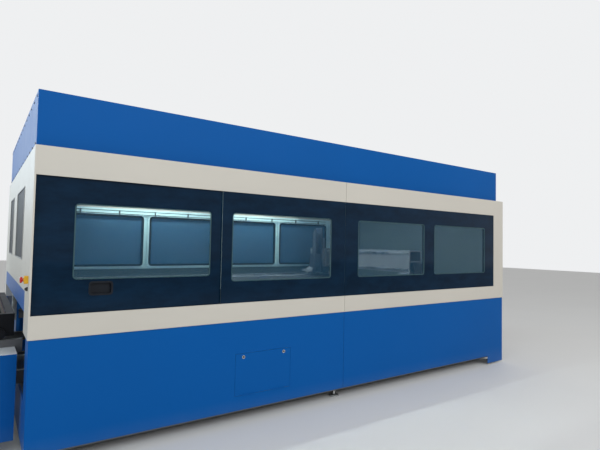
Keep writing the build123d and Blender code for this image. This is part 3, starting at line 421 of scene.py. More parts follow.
def machined(name, colour, roughness, direction, metallic=1.0):
    """Bare metal with the fine lines of machining or brushing along it."""
    f = Finish(name)
    lines = f.noise(24, 3, vector=f.stretched(direction))
    patch = f.noise(6, 4)
    return f.set(
        Base_Color=f.shades(patch, colour, 0.82, 1.1),
        Metallic=metallic,
        Roughness=roughness + lines * 0.16 + patch * 0.08,
        Normal=f.bump(lines, 0.00006),
    )


def galvanised(name, colour):
    """Zinc coated sheet with its spangle."""
    f = Finish(name)
    spangle = f.add("ShaderNodeTexVoronoi", None, {"Vector": f.place(), "Scale": 55}, output="Color")
    grey = f.add("ShaderNodeSeparateColor", None, {0: spangle})
    return f.set(
        Base_Color=f.shades(grey, colour, 0.78, 1.12),
        Metallic=0.9,
        Roughness=0.36 + grey * 0.18,
    )


def scorched_steel(name, top):
    """Laser cut slats: heat tint and spatter on the teeth, plain scale lower down."""
    f = Finish(name)
    near_top = ((f.along("Z") - (top - HEAT_DEPTH)) * (1 / HEAT_DEPTH)).clamped()
    spatter = f.patches(f.noise(140, 4), 0.48, 0.6)
    heat = f.ramp(
        near_top + f.noise(20, 3) * 0.35 - 0.15,
        (0.0, (0.26, 0.25, 0.24)), (0.45, (0.2, 0.12, 0.07)), (0.75, (0.09, 0.1, 0.16)),
        (1.0, (0.05, 0.045, 0.04)),
    )
    return f.set(
        Base_Color=f.between((spatter * near_top).clamped(), heat, (0.03, 0.025, 0.02)),
        Metallic=0.75,
        Roughness=0.45 + spatter * 0.25,
        Normal=f.bump(spatter, 0.0006),
    )


def moulded(name, colour, roughness, grain=0.00012, gloss=0.5):
    """Moulded plastic or rubber with a fine grain."""
    f = Finish(name)
    patch = f.noise(18, 3)
    return f.set(
        Base_Color=f.shades(patch, colour, 0.85, 1.18),
        Roughness=roughness + patch * 0.1,
        Specular_IOR_Level=gloss,
        Normal=f.bump(f.noise(700, 2), grain),
    )


def light_cover(name, colour, strength):
    """The lit cover of an inside light, a little uneven along it."""
    f = Finish(name)
    return f.set(
        Base_Color=(0.8, 0.82, 0.82),
        Emission_Color=f.shades(f.noise(9, 1), colour, 0.94, 1),
        Emission_Strength=strength,
        Roughness=0.4,
    )


def paint(material, *nodes):
    """Gives CAD nodes one procedural material."""
    for node in nodes:
        slots = frame["nodes"][node].data.materials
        slots.clear()
        slots.append(material)


def only(piece):
    """Selects this piece alone and makes it active."""
    bpy.ops.object.select_all(action="DESELECT")
    piece.select_set(True)
    bpy.context.view_layer.objects.active = piece


def settle(piece):
    """Puts a piece's place, turn and size into its mesh."""
    only(piece)
    bpy.ops.object.transform_apply(location=True, rotation=True, scale=True)


def placed(piece, place, turn):
    """Puts a piece that was made at the origin in its place."""
    piece.matrix_world = Matrix.Translation(place) @ turn
    settle(piece)
    return piece


def started(primitive, scale=(1, 1, 1), **settings):
    """Adds a primitive with nothing else selected, and puts its place and size into its mesh."""
    bpy.ops.object.select_all(action="DESELECT")
    primitive(**settings)
    piece = bpy.context.object
    piece.scale = scale
    settle(piece)
    return piece


def block(size, place):
    """A box about a place, to be shaped."""
    return started(bpy.ops.mesh.primitive_cube_add, size, size=1, location=place)


def disc(sides, radius, depth, foot=0):
    """An upright cylinder on the Z axis, to be shaped, with its lower face at the foot's height."""
    return started(
        bpy.ops.mesh.primitive_cylinder_add, vertices=sides, radius=radius, depth=depth,
        location=(0, 0, foot + depth / 2),
    )


class Editing:
    """Edit mode on one piece, for the length of a with block."""

    def __init__(self, piece):
        self.piece = piece

    def __enter__(self):
        only(self.piece)
        bpy.ops.object.mode_set(mode="EDIT")

    def __exit__(self, *failure):
        bpy.ops.object.mode_set(mode="OBJECT")


def pick(piece, test, kind="FACE"):
    """Selects the faces, or with VERT the points, that pass the test, in edit mode."""
    bpy.ops.mesh.select_mode(type=kind)
    bpy.ops.mesh.select_all(action="DESELECT")
    mesh = bmesh.from_edit_mesh(piece.data)
    mesh.normal_update()
    for element in mesh.faces if kind == "FACE" else mesh.verts:
        element.select_set(test(element))
    bmesh.update_edit_mesh(piece.data)


def all_faces(face):
    return True


def facing_up(face):
    return face.normal.z > LEVEL


def facing_down(face):
    return face.normal.z < -LEVEL


def extrude(rise):
    """Extrudes what is selected along Z."""
    bpy.ops.mesh.extrude_region_move(TRANSFORM_OT_translate={"value": (0, 0, rise)})


def resize(factor):
    """Scales what is selected across Z."""
    bpy.ops.transform.resize(value=(factor, factor, 1))


def face_outwards():
    """Turns all faces of the mesh in edit mode outwards."""
    bpy.ops.mesh.select_all(action="SELECT")
    bpy.ops.mesh.normals_make_consistent(inside=False)


def modified(piece, kind, **settings):
    """Finishes a piece with one modifier, and applies it."""
    only(piece)
    modifier = piece.modifiers.new(kind, kind)
    for name, value in settings.items():
        setattr(modifier, name, value)
    bpy.ops.object.modifier_apply(modifier=modifier.name)
    return piece


def bevelled(piece, width, segments):
    return modified(piece, "BEVEL", width=width, segments=segments, limit_method="ANGLE")


def joined(pieces):
    """Joins the pieces into the first one."""
    bpy.ops.object.select_all(action="DESELECT")
    for piece in pieces:
        piece.select_set(True)
    bpy.context.view_layer.objects.active = pieces[0]
    if len(pieces) > 1:
        bpy.ops.object.join()
    return pieces[0]


def copies(piece, places):
    """Copies a piece that points up to each (place, direction) and joins them into one."""
    twins = []
    for place, direction in places:
        twin = piece.copy()
        twin.data = piece.data.copy()
        bpy.context.scene.collection.objects.link(twin)
        turn = Vector(direction).to_track_quat("Z", "Y").to_matrix().to_4x4()
        twins.append(placed(twin, place, turn))
    bpy.data.objects.remove(piece)
    return joined(twins)


def finish_of(node):
    """The material that a CAD node was painted with."""
    return frame["nodes"][node].data.materials[0]


def dressed(piece, name, body, material, smooth=True):
    """Names a piece, gives it its finish and hangs it on its body."""
    settle(piece)
    if smooth:
        bpy.ops.object.shade_smooth_by_angle(angle=SMOOTH_ANGLE)
    piece.name = name
    piece.data.name = name
    piece.data.materials.clear()
    piece.data.materials.append(material)
    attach(piece, body)


def length_of(limits):
    """The length in metres between two places in millimetres."""
    return (limits[1] - limits[0]) * MM


def middle_of(limits):
    """The place in millimetres halfway between two."""
    return (limits[0] + limits[1]) / 2


def spread(first, last, pitch):
    """Evenly spaced places from the first to the last, a little more than a pitch apart."""
    count = int((last - first) / pitch)
    step = (last - first) / count
    return [first + index * step for index in range(count + 1)]


def round_corners(width, height, radius, segments):
    """A flat plate with rounded corners in the XY plane."""
    plate = started(bpy.ops.mesh.primitive_plane_add, (width, height, 1), size=1)
    with Editing(plate):
        bpy.ops.mesh.select_all(action="SELECT")
        bpy.ops.mesh.bevel(offset=radius, segments=segments, affect="VERTICES")
    return plate


class CUTTER_OT_paint_cabin(Operator):
    """Give the cabin's panels and frame their paint"""

    bl_idname = "cutter.paint_cabin"
    bl_label = "Paint cabin"

    def execute(self, context):
        colours = context.scene.cutter_paint
        white = powder_coat("white_coat", colours.white)
        blue = powder_coat("blue_coat", colours.blue, roughness=0.4, gloss=0.07)
        glossy = powder_coat("blue_end_coat", colours.blue, roughness=0.4, gloss=0.36)
        grey = powder_coat("structure_coat", colours.structure, roughness=0.5)
        end_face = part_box("white_end_panels")[1].x
        ends = coat_with_painted_shade("end_panel_coat_with_painted_shade", colours.white, colours.lining, end_face)
        paint(white, "front_frame_left", "front_frame_right", "rear_frame", "loading_end_panel")
        paint(ends, "white_end_panels")
        paint(blue, "top_fascia", "lower_panel_left", "lower_panel_right", "rear_lower_panels")
        paint(blue, "service_hatch", "roof_panels", "loading_door")
        paint(glossy, "blue_end_panels", "loading_jambs")
        paint(grey, "cabin_posts", "base_frame", "roof_frame")
        return {"FINISHED"}


class CUTTER_OT_fit_glass(Operator):
    """Give the dark bands and the window panes their glass"""

    bl_idname = "cutter.fit_glass"
    bl_label = "Fit glass"

    def execute(self, context):
        colours = context.scene.cutter_paint
        for node, inward in (
            ("front_glass_left", 1), ("front_glass_right", 1),
            ("front_door_glass", 1), ("rear_glass", -1),
        ):
            low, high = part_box(node)
            middle = (low.y + high.y) / 2
            paint(band_glass(f"{node}_coat", colours.band, colours.lining, middle, inward), node)
        pane = tinted_pane("tinted_pane", colours.clear_pane, colours.dark_pane)
        paint(pane, "window_panes", "front_door_window")
        paint(powder_coat("lining_coat", colours.lining, gloss=0.2), "window_frames")
        paint(powder_coat("door_frame_coat", colours.door_frame, roughness=0.35), "front_door_frame")
        paint(moulded("pull_plastic", (0.006, 0.008, 0.012), 0.38, gloss=0.16), "front_door_handle")
        return {"FINISHED"}


class CUTTER_OT_finish_machine(Operator):
    """Give the bed, gantry, head and pallets their metals and enamels"""

    bl_idname = "cutter.finish_machine"
    bl_label = "Finish machine"

    def execute(self, context):
        colours = context.scene.cutter_paint
        bed = enamel("bed_enamel", colours.bed)
        motor = enamel("motor_enamel", (0.015, 0.015, 0.018), 0.38)
        structure = enamel("table_enamel", shade(colours.structure, 0.3), gloss=0.2)
        pallet = enamel("pallet_enamel", colours.pallet, gloss=0.14)
        ground = machined("ground_steel", (0.6, 0.61, 0.62), 0.16, ALONG_Y)
        oiled = machined("oiled_steel", (0.33, 0.33, 0.34), 0.32, ACROSS_Y)
        worn = machined("worn_rail_steel", (0.11, 0.11, 0.115), 0.45, ACROSS_Y, 0.7)
        beam = machined("beam_aluminium", (0.4, 0.42, 0.43), 0.4, ALONG_Y)
        head = machined("head_aluminium", (0.1, 0.13, 0.17), 0.34, ALONG_Z, 0.8)
        chain = machined("chain_steel", (0.18, 0.17, 0.16), 0.38, ACROSS_X)
        zinc = galvanised("zinc_sheet", (0.5, 0.52, 0.53))
        paint(bed, "bed_beams", "bed_cross_beams", "gantry_saddles")
        paint(motor, "gantry_motors", "pallet_drive_motor")
        paint(structure, "table_frame")
        paint(pallet, "upper_pallet_frame", "lower_pallet_frame")
        paint(ground, "gantry_rails", "carriage_rails")
        paint(oiled, "pinion_front", "pinion_rear", "door_track", "drive_shaft", "idler_sprockets")
        paint(oiled, "y_carriage")
        paint(worn, "pallet_rails")
        paint(beam, "gantry_beam")
        paint(head, "cutting_head")
        paint(chain, "drive_chains")
        paint(zinc, "scrap_trays", "cable_trough", "loading_door_guides")
        for level in ("upper", "lower"):
            slats = f"{level}_pallet_slats"
            paint(scorched_steel(f"{level}_slat_steel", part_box(slats)[1].z), slats)
        paint(moulded("chain_plastic", (0.014, 0.014, 0.015), 0.55), "cable_chain")
        return {"FINISHED"}


class CUTTER_OT_finish_table(Operator):
    """Give the exchange table's panels and covers their finish"""

    bl_idname = "cutter.finish_table"
    bl_label = "Finish table"

    def execute(self, context):
        blue = context.scene.cutter_paint.blue
        paint(powder_coat("table_blue_coat", blue, roughness=0.38, gloss=0.07), "table_side_panels")
        paint(machined("cover_aluminium", (0.8, 0.82, 0.83), 0.42, ALONG_X, 0.6), "table_covers")
        return {"FINISHED"}


class CUTTER_OT_finish_controls(Operator):
    """Give the stop box, the key switch and the hatch locks their finish"""

    bl_idname = "cutter.finish_controls"
    bl_label = "Finish controls"

    def execute(self, context):
        colours = context.scene.cutter_paint
        nickel = machined("nickel", (0.62, 0.6, 0.56), 0.2, EVEN)
        paint(moulded("stop_box_plastic", colours.alarm_yellow, 0.34), "estop_housing")
        paint(moulded("stop_button_plastic", colours.alarm_red, 0.2, 0.00004), "estop_button")
        paint(moulded("key_plastic", (0.012, 0.012, 0.013), 0.32), "key_switch")
        paint(nickel, "hatch_lock_left", "hatch_lock_right")
        return {"FINISHED"}


class CUTTER_OT_window_seals(Operator):
    """Add the rubber seals inside the window openings"""

    bl_idname = "cutter.window_seals"
    bl_label = "Window seals"

    def execute(self, context):
        sizes = context.scene.cutter_details
        black = moulded("seal_rubber", (0.008, 0.011, 0.014), 0.62, gloss=0.12)
        green = moulded("green_seal_rubber", (0.045, 0.09, 0.1), 0.6, gloss=0.12)
        pale = moulded("pale_seal_rubber", (0.34, 0.34, 0.33), 0.6)
        depth = (sizes.seal_depth - SEAL_STANDOUT) / MM
        for name, body, rubber, windows, up, face, turn in (
            ("front_window_seals", "machine", green, FRONT_WINDOWS, FRONT_WINDOW_HEIGHT,
             GLASS_FACE + depth, FACING_FRONT),
            ("rear_window_seals", "machine", black, REAR_WINDOWS, REAR_WINDOW_HEIGHT,
             CABIN_DEPTH - GLASS_FACE - depth, FACING_REAR),
            ("end_window_seals", "machine", pale, END_WINDOWS, END_WINDOW_HEIGHT,
             END_SEAL_FACE, FACING_LEFT),
            ("door_window_seal", "front_door", green, DOOR_WINDOWS, DOOR_WINDOW_HEIGHT,
             DOOR_GLASS_FACE + depth, FACING_FRONT),
        ):
            on_end = turn is FACING_LEFT
            corner = END_PANE_CORNER if on_end else PANE_CORNER
            rings = []
            for across in windows:
                ring = self.ring(length_of(across), length_of(up), corner, sizes)
                spot = (face, middle_of(across)) if on_end else (middle_of(across), face)
                rings.append(placed(ring, from_corner(*spot, middle_of(up)), turn))
            dressed(joined(rings), name, body, rubber)
        return {"FINISHED"}

    def ring(self, width, height, radius, sizes):
        """A rubber frame with rounded corners, flat on the XY plane and standing up from it."""
        ring = round_corners(
            width - SEAL_CLEARANCE, height - SEAL_CLEARANCE, radius, sizes.corner_segments
        )
        with Editing(ring):
            pick(ring, all_faces)
            bpy.ops.mesh.inset(thickness=sizes.seal_width, depth=0)
            bpy.ops.mesh.delete(type="FACE")
        modified(ring, "SOLIDIFY", thickness=sizes.seal_depth, offset=1)
        return bevelled(ring, sizes.seal_depth / 4, 1)


class CUTTER_OT_window_shade_films(Operator):
    """Add dark films on the panes of the loading end, as painted shade for the dark cabin behind them
    """

    bl_idname = "cutter.window_films"
    bl_label = "Window shade films"

    def execute(self, context):
        clearance, corner, thickness, edge = 0.014, 0.004, 0.0006, 0.0002
        height = length_of(END_WINDOW_HEIGHT) - clearance
        films = []
        for across in END_WINDOWS:
            film = round_corners(length_of(across) - clearance, height, corner, 3)
            with Editing(film):
                bpy.ops.mesh.select_all(action="SELECT")
                extrude(thickness)
                face_outwards()
            bevelled(film, edge, 1)
            place = from_corner(FILM_FACE, middle_of(across), middle_of(END_WINDOW_HEIGHT))
            films.append(placed(film, place, FACING_LEFT))
        # Painted shade: the dark films stand in for the cabin's shade seen through the end windows.
        tint = painted_shade_film("film", (0.05, 0.06, 0.07))
        dressed(joined(films), "end_window_shade_films", "machine", tint)
        return {"FINISHED"}


class CUTTER_OT_window_gaskets(Operator):
    """Add the rounded rubber gaskets on the inner window frames"""

    bl_idname = "cutter.window_gaskets"
    bl_label = "Window gaskets"

    def execute(self, context):
        sizes = context.scene.cutter_details
        rings = []
        for windows, up, face, turn in (
            (FRONT_WINDOWS[1:], FRONT_WINDOW_HEIGHT, FRAME_FACES[0], FACING_REAR),
            (REAR_WINDOWS, REAR_WINDOW_HEIGHT, FRAME_FACES[1], FACING_FRONT),
        ):
            for across in windows:
                place = from_corner(middle_of(across), face, middle_of(up))
                ring = self.gasket(length_of(across), length_of(up), sizes)
                rings.append(placed(ring, place, turn))
        rubber = moulded("gasket_rubber", (0.008, 0.014, 0.018), 0.5, gloss=0.2)
        dressed(joined(rings), "window_gaskets", "machine", rubber)
        return {"FINISHED"}

    def gasket(self, across, up, sizes):
        """A ring that lies on a window frame, with a lip down its inner edge to the pane."""
        lap, rise = sizes.gasket_lap, sizes.gasket_height
        lip, lip_width, slack = 0.0178, FRAME_INNER_EDGE + 0.001, 0.0002
        width = across + 2 * (FRAME_INNER_EDGE + lap)
        height = up + 2 * (FRAME_INNER_EDGE + lap)
        inner_x, inner_y = width / 2 - lap - slack, height / 2 - lap - slack

        def under_the_lip(face):
            inside = all(abs(v.co.x) < inner_x and abs(v.co.y) < inner_y for v in face.verts)
            return facing_down(face) and face.calc_center_median().z < 1e-5 and inside

        ring = round_corners(width, height, sizes.gasket_radius, sizes.corner_segments)
        with Editing(ring):
            pick(ring, all_faces)
            bpy.ops.mesh.inset(thickness=lap + 2 * slack, depth=0)
            bpy.ops.mesh.inset(thickness=lip_width, depth=0)
            bpy.ops.mesh.delete(type="FACE")
            bpy.ops.mesh.select_all(action="SELECT")
            extrude(rise)
            face_outwards()
            pick(ring, under_the_lip)
            extrude(-lip)
        return bevelled(ring, rise / 4, 1)


class CUTTER_OT_fascia_screws(Operator):
    """Add the socket screws along the end faces of the blue fascia"""

    bl_idname = "cutter.fascia_screws"
    bl_label = "Fascia screws"

    def execute(self, context):
        sizes = context.scene.cutter_details
        radius, height, inset = sizes.screw_radius, sizes.screw_height, sizes.screw_inset
        edge, rim, socket, end_margin = height * 0.3, radius * 0.4, height * 0.6, 0.06
        screw = disc(16, radius, height)
        with Editing(screw):
            pick(screw, facing_up)
            bpy.ops.mesh.bevel(offset=edge, segments=2)
            pick(screw, lambda face: facing_up(face) and face.calc_area() > radius ** 2)
            bpy.ops.mesh.inset(thickness=rim)
            extrude(-socket)
        low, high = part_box("top_fascia")
        places = [
            (Vector((x, y, z)), (outward, 0, 0))
            for x, outward in ((low.x, -1), (high.x, 1))
            for y in spread(low.y + end_margin, high.y - end_margin, sizes.screw_pitch)
            for z in (low.z + inset, high.z - inset)
        ]
        steel = machined("black_screw_steel", (0.05, 0.05, 0.055), 0.35, EVEN, 0.8)
        dressed(copies(screw, places), "fascia_screws", "machine", steel)
        return {"FINISHED"}


class CUTTER_OT_support_slats(Operator):
    """Replace the plain slats of both pallets by closely spaced toothed ones"""

    bl_idname = "cutter.support_slats"
    bl_label = "Support slats"

    def execute(self, context):
        sizes = context.scene.cutter_details
        thickness = 0.004
        for name, body in (("upper", "upper_pallet"), ("lower", "lower_pallet")):
            node = f"{name}_pallet_slats"
            low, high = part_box(node)
            slat = self.slat(high.y - low.y, high.z - low.z, thickness, sizes.tooth_pitch)
            middle = (low.y + high.y) / 2
            rows = spread(low.x + thickness / 2, high.x - thickness / 2, sizes.slat_pitch)
            slats = copies(slat, [(Vector((x, middle, low.z)), (0, 0, 1)) for x in rows])
            dressed(slats, f"{name}_slat_rows", body, finish_of(node), smooth=False)
            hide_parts(node)
        return {"FINISHED"}

    def slat(self, width, height, thickness, pitch):
        """One upright slat across Y with a row of pointed teeth along its top."""
        teeth = int(width / pitch)
        half_tooth = width / (2 * teeth)
        tooth_depth = 0.03
        slat = started(
            bpy.ops.mesh.primitive_grid_add, x_subdivisions=2 * teeth, y_subdivisions=1, size=1
        )
        upright = Matrix(((0, 0, thickness), (width, 0, 0), (0, height, 0))).to_4x4()
        placed(slat, (0, 0, height / 2), upright)

        def between_teeth(point):
            column = round((point.co.y + width / 2) / half_tooth)
            return point.co.z > height / 2 and column % 2 == 0

        with Editing(slat):
            pick(slat, between_teeth, "VERT")
            bpy.ops.transform.translate(value=(0, 0, -tooth_depth))
        return modified(slat, "SOLIDIFY", thickness=thickness, offset=0)


class CUTTER_OT_levelling_feet(Operator):
    """Replace the plain feet by round pads with a neck, a stud and a lock nut"""

    bl_idname = "cutter.levelling_feet"
    bl_label = "Levelling feet"

    def execute(self, context):
        sizes = context.scene.cutter_details
        pad_depth, nut_depth, nut_foot, nut_wall = 0.012, 0.014, 0.0455, 0.003
        foot = disc(28, sizes.pad_radius, pad_depth)
        with Editing(foot):
            pick(foot, facing_up)
            neck, stud = (0.012, 0.008, 0.62), (0.0085, 0.0398, 1)
            for inset, rise, narrowing in (neck, stud):
                bpy.ops.mesh.inset(thickness=inset)
                extrude(rise)
                resize(narrowing)
        bevelled(foot, 0.0012, 2)
        nut = disc(6, sizes.nut_radius, nut_depth, nut_foot)
        with Editing(nut):
            pick(nut, lambda face: facing_up(face) or facing_down(face))
            bpy.ops.mesh.inset(thickness=nut_wall)
            bpy.ops.mesh.delete(type="FACE")
        bevelled(nut, 0.001, 2)
        feet = copies(joined([foot, nut]), [(spot, (0, 0, 1)) for spot in self.spots()])
        zinc = machined("foot_zinc", (0.42, 0.43, 0.43), 0.34, ACROSS_Z)
        dressed(feet, "levelling_feet_detail", "machine", zinc)
        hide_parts("levelling_feet")
        return {"FINISHED"}

    def spots(self):
        """The middles of the CAD feet on the floor, from their pads' corners there."""
        floor_gap, pad_reach = 0.001, 0.1
        groups = []
        for vertex in frame["nodes"]["levelling_feet"].data.vertices:
            if vertex.co.z >= floor_gap:
                continue
            for group in groups:
                if (group[0] - vertex.co).length < pad_reach:
                    group.append(vertex.co)
                    break
            else:
                groups.append([vertex.co])
        spots = []
        for group in groups:
            x, y, _ = ((min(places) + max(places)) / 2 for places in zip(*group))
            spots.append(Vector((x, y, 0)))
        return spots


class CUTTER_OT_stop_button(Operator):
    """Replace the plain stop button by a rounded mushroom head"""

    bl_idname = "cutter.stop_button"
    bl_label = "Stop button"

    def execute(self, context):
        low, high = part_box("estop_button")
        radius = (high.y - low.y) / 2
        middle = (low + high) / 2
        head, rim, stem = 0.014, 0.003, 0.018
        crown = ((0.002, 1.11), (0.0045, 1.0), (0.0025, 0.93), (0.0015, 0.86), (0.0005, 0.55))
        button = disc(40, radius * 0.9, rim)
        with Editing(button):
            pick(button, facing_up)
            for rise, widening in crown:
                extrude(rise)
                resize(widening)
            pick(button, facing_down)
            bpy.ops.mesh.inset(thickness=radius * 0.4)
            extrude(-stem)
        bevelled(button, 0.0005, 1)
        placed(button, (low.x + head, middle.y, middle.z), FACING_LEFT)
        dressed(button, "stop_button_head", "estop", finish_of("estop_button"))
        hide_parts("estop_button")
        return {"FINISHED"}


class CUTTER_OT_key_switch(Operator):
    """Replace the plain key switch by a ringed barrel with a short lever"""

    bl_idname = "cutter.key_switch"
    bl_label = "Key switch"

    def execute(self, context):
        low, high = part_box("key_switch")
        radius = (high.y - low.y) / 2
        middle = (low + high) / 2
        collar, ring, recess = 0.006, (radius * 0.16, 0.005), (radius * 0.2, -0.0015)
        lever_size, lever_height = (0.0055, radius * 1.2, 0.008), 0.0125
        barrel = disc(32, radius, collar)
        with Editing(barrel):
            pick(barrel, facing_up)
            for inset, rise in (ring, recess):
                bpy.ops.mesh.inset(thickness=inset)
                extrude(rise)
        bevelled(barrel, 0.0005, 2)
        lever = block(lever_size, (0, 0, lever_height))
        with Editing(lever):
            pick(lever, facing_up)
            bpy.ops.transform.resize(value=(0.6, 0.9, 1))
        bevelled(lever, 0.0008, 3)
        switch = placed(joined([barrel, lever]), (high.x, middle.y, middle.z), FACING_LEFT)
        dressed(switch, "key_switch_barrel", "key", finish_of("key_switch"))
        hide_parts("key_switch")
        return {"FINISHED"}


class CUTTER_OT_lock_inserts(Operator):
    """Add the key inserts of the hatch's two quarter-turn locks"""

    bl_idname = "cutter.lock_inserts"
    bl_label = "Lock inserts"

    def execute(self, context):
        radius = context.scene.cutter_details.insert_radius
        rim, depth, recess, edge = radius * 0.2, 0.0018, 0.0012, 0.0003
        bar_size, bar_height = (radius * 2.3, radius * 0.5, 0.0016), 0.001
        steel = machined("insert_steel", (0.07, 0.07, 0.075), 0.4, EVEN, 0.7)
        for joint in frame["joints"]:
            if not joint["name"].endswith("lock_turn"):
                continue
            body = joint["child"]
            ring = disc(24, radius, depth)
            with Editing(ring):
                pick(ring, facing_up)
                bpy.ops.mesh.inset(thickness=rim)
                extrude(-recess)
            bevelled(ring, edge, 2)
            bar = bevelled(block(bar_size, (0, 0, bar_height)), edge, 2)
            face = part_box(f"hatch_lock_{body.split('_')[0]}")[0].y
            x, _, z = joint["pos_m"]
            insert = placed(joined([ring, bar]), (x, face, z), FACING_FRONT)
            dressed(insert, f"{body}_insert", body, steel)
        return {"FINISHED"}


class CUTTER_OT_inside_lights(Operator):
    """Add the long lights under the roof"""

    bl_idname = "cutter.inside_lights"
    bl_label = "Inside lights"

    def execute(self, context):
        width = context.scene.cutter_details.light_width
        columns, rows, height, edge = (1500, 3000), (520, CABIN_DEPTH - 300), 2190, 0.006
        places = [from_corner(x, y, height) for y in rows for x in columns]
        aluminium = machined("light_aluminium", (0.6, 0.61, 0.62), 0.4, ALONG_X)
        lit = light_cover("light_cover", (0.88, 1.0, 0.98), strength=100.0)
        for name, size, drop, material in (
            ("light_housings", (1.3, width, 0.03), 0, aluminium),
            ("light_covers", (1.26, width * 0.8, 0.02), 0.024, lit),
        ):
            bars = [bevelled(block(size, place - Vector((0, 0, drop))), edge, 3) for place in places]
            dressed(joined(bars), name, "machine", material)
        return {"FINISHED"}


class CUTTER_OT_drip_plates(Operator):
    """Add the folded plates that close the gap between the bed and the cabin's base frame"""

    bl_idname = "cutter.drip_plates"
    bl_label = "Drip plates"

    def execute(self, context):
        posts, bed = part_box("cabin_posts"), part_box("bed_beams")
        flange_down, flange_up, below, above, end_gap = -0.03, 0.02, 0.003, 0.001, 0.1
        inset = Vector((POST_SIZE, POST_SIZE, 0)) + PLATE_GAP
        outer = (posts[0] + inset, posts[1] - inset)
        inner = (bed[0] - PLATE_GAP, bed[1] + PLATE_GAP)
        plates = [self.flanged(self.ring(outer, inner, posts[0].z - below), flange_down)]
        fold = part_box("lower_panel_left")[1].y
        for side in (1, -1):
            low, high = sorted((side * fold, side * posts[0].y))
            size = (posts[1].x - posts[0].x - end_gap, high - low - 2 * PLATE_GAP.y, 1)
            middle = ((posts[0].x + posts[1].x) / 2, (low + high) / 2, posts[0].z + above)
            strip = started(bpy.ops.mesh.primitive_plane_add, size, size=1, location=middle)
            plates.append(self.flanged(strip, flange_up))
        grey = enamel("plate_enamel", shade(context.scene.cutter_paint.structure, 0.5), gloss=0.2)
        dressed(joined(plates), "drip_plates", "machine", grey)
        return {"FINISHED"}

    def ring(self, outer, inner, height):
        """A flat plate round the bed."""
        middle, size = (outer[0] + outer[1]) / 2, outer[1] - outer[0]
        centre = (inner[0] + inner[1]) / 2
        plate = started(
            bpy.ops.mesh.primitive_grid_add, (size.x, size.y, 1), size=1,
            x_subdivisions=3, y_subdivisions=3, location=(middle.x, middle.y, height),
        )

        def over_the_bed(face):
            offset = face.calc_center_median() - centre
            return abs(offset.x) < MM and abs(offset.y) < MM

        with Editing(plate):
            for axis in (0, 1):
                for side in (0, 1):
                    line = outer[0][axis] + size[axis] * (1 + side) / 3
                    pick(plate, lambda point: abs(point.co[axis] - line) < MM, "VERT")
                    shift = [0, 0, 0]
                    shift[axis] = inner[side][axis] - line
                    bpy.ops.transform.translate(value=shift)
            pick(plate, over_the_bed)
            bpy.ops.mesh.delete(type="FACE")
        return plate

    def flanged(self, plate, rise):
        """Folds all open edges of a flat plate up or down, and gives the sheet its thickness."""
        sheet, edge = 0.002, 0.0006
        with Editing(plate):
            bpy.ops.mesh.select_mode(type="EDGE")
            bpy.ops.mesh.select_all(action="DESELECT")
            bpy.ops.mesh.select_non_manifold()
            extrude(rise)
            face_outwards()
        modified(plate, "SOLIDIFY", thickness=sheet, offset=0)
        return bevelled(plate, edge, 1)


class CUTTER_OT_rear_pipes(Operator):
    """Add the two thin pipes that run in clips above the rear windows"""

    bl_idname = "cutter.rear_pipes"
    bl_label = "Rear pipes"

    def execute(self, context):
        radius = context.scene.cutter_details.pipe_radius
        left, right = REAR_WINDOWS[0][0], REAR_WINDOWS[-1][1]
        heights, standoff, clip_pitch, end_margin = (1737, 1775), 12, 440, 150
        clip_width, clip_depth, clip_height = 0.016, 14, 0.056
        wall = FRAME_FACES[1]
        pieces = []
        for height in heights:
            pipe = started(
                bpy.ops.mesh.primitive_cylinder_add, vertices=12, radius=radius,
                depth=(right - left) * MM, rotation=(0, math.pi / 2, 0),
                location=from_corner(middle_of((left, right)), wall - standoff, height),
            )
            pieces.append(bevelled(pipe, radius * 0.3, 1))
        for x in spread(left + end_margin, right - end_margin, clip_pitch):
            place = from_corner(x, wall - clip_depth / 2, middle_of(heights))
            clip = block((clip_width, clip_depth * MM, clip_height), place)
            pieces.append(bevelled(clip, 0.002, 2))
        steel = machined("pipe_steel", (0.06, 0.09, 0.1), 0.45, EVEN, 0.5)
        dressed(joined(pieces), "rear_pipes", "machine", steel)
        return {"FINISHED"}


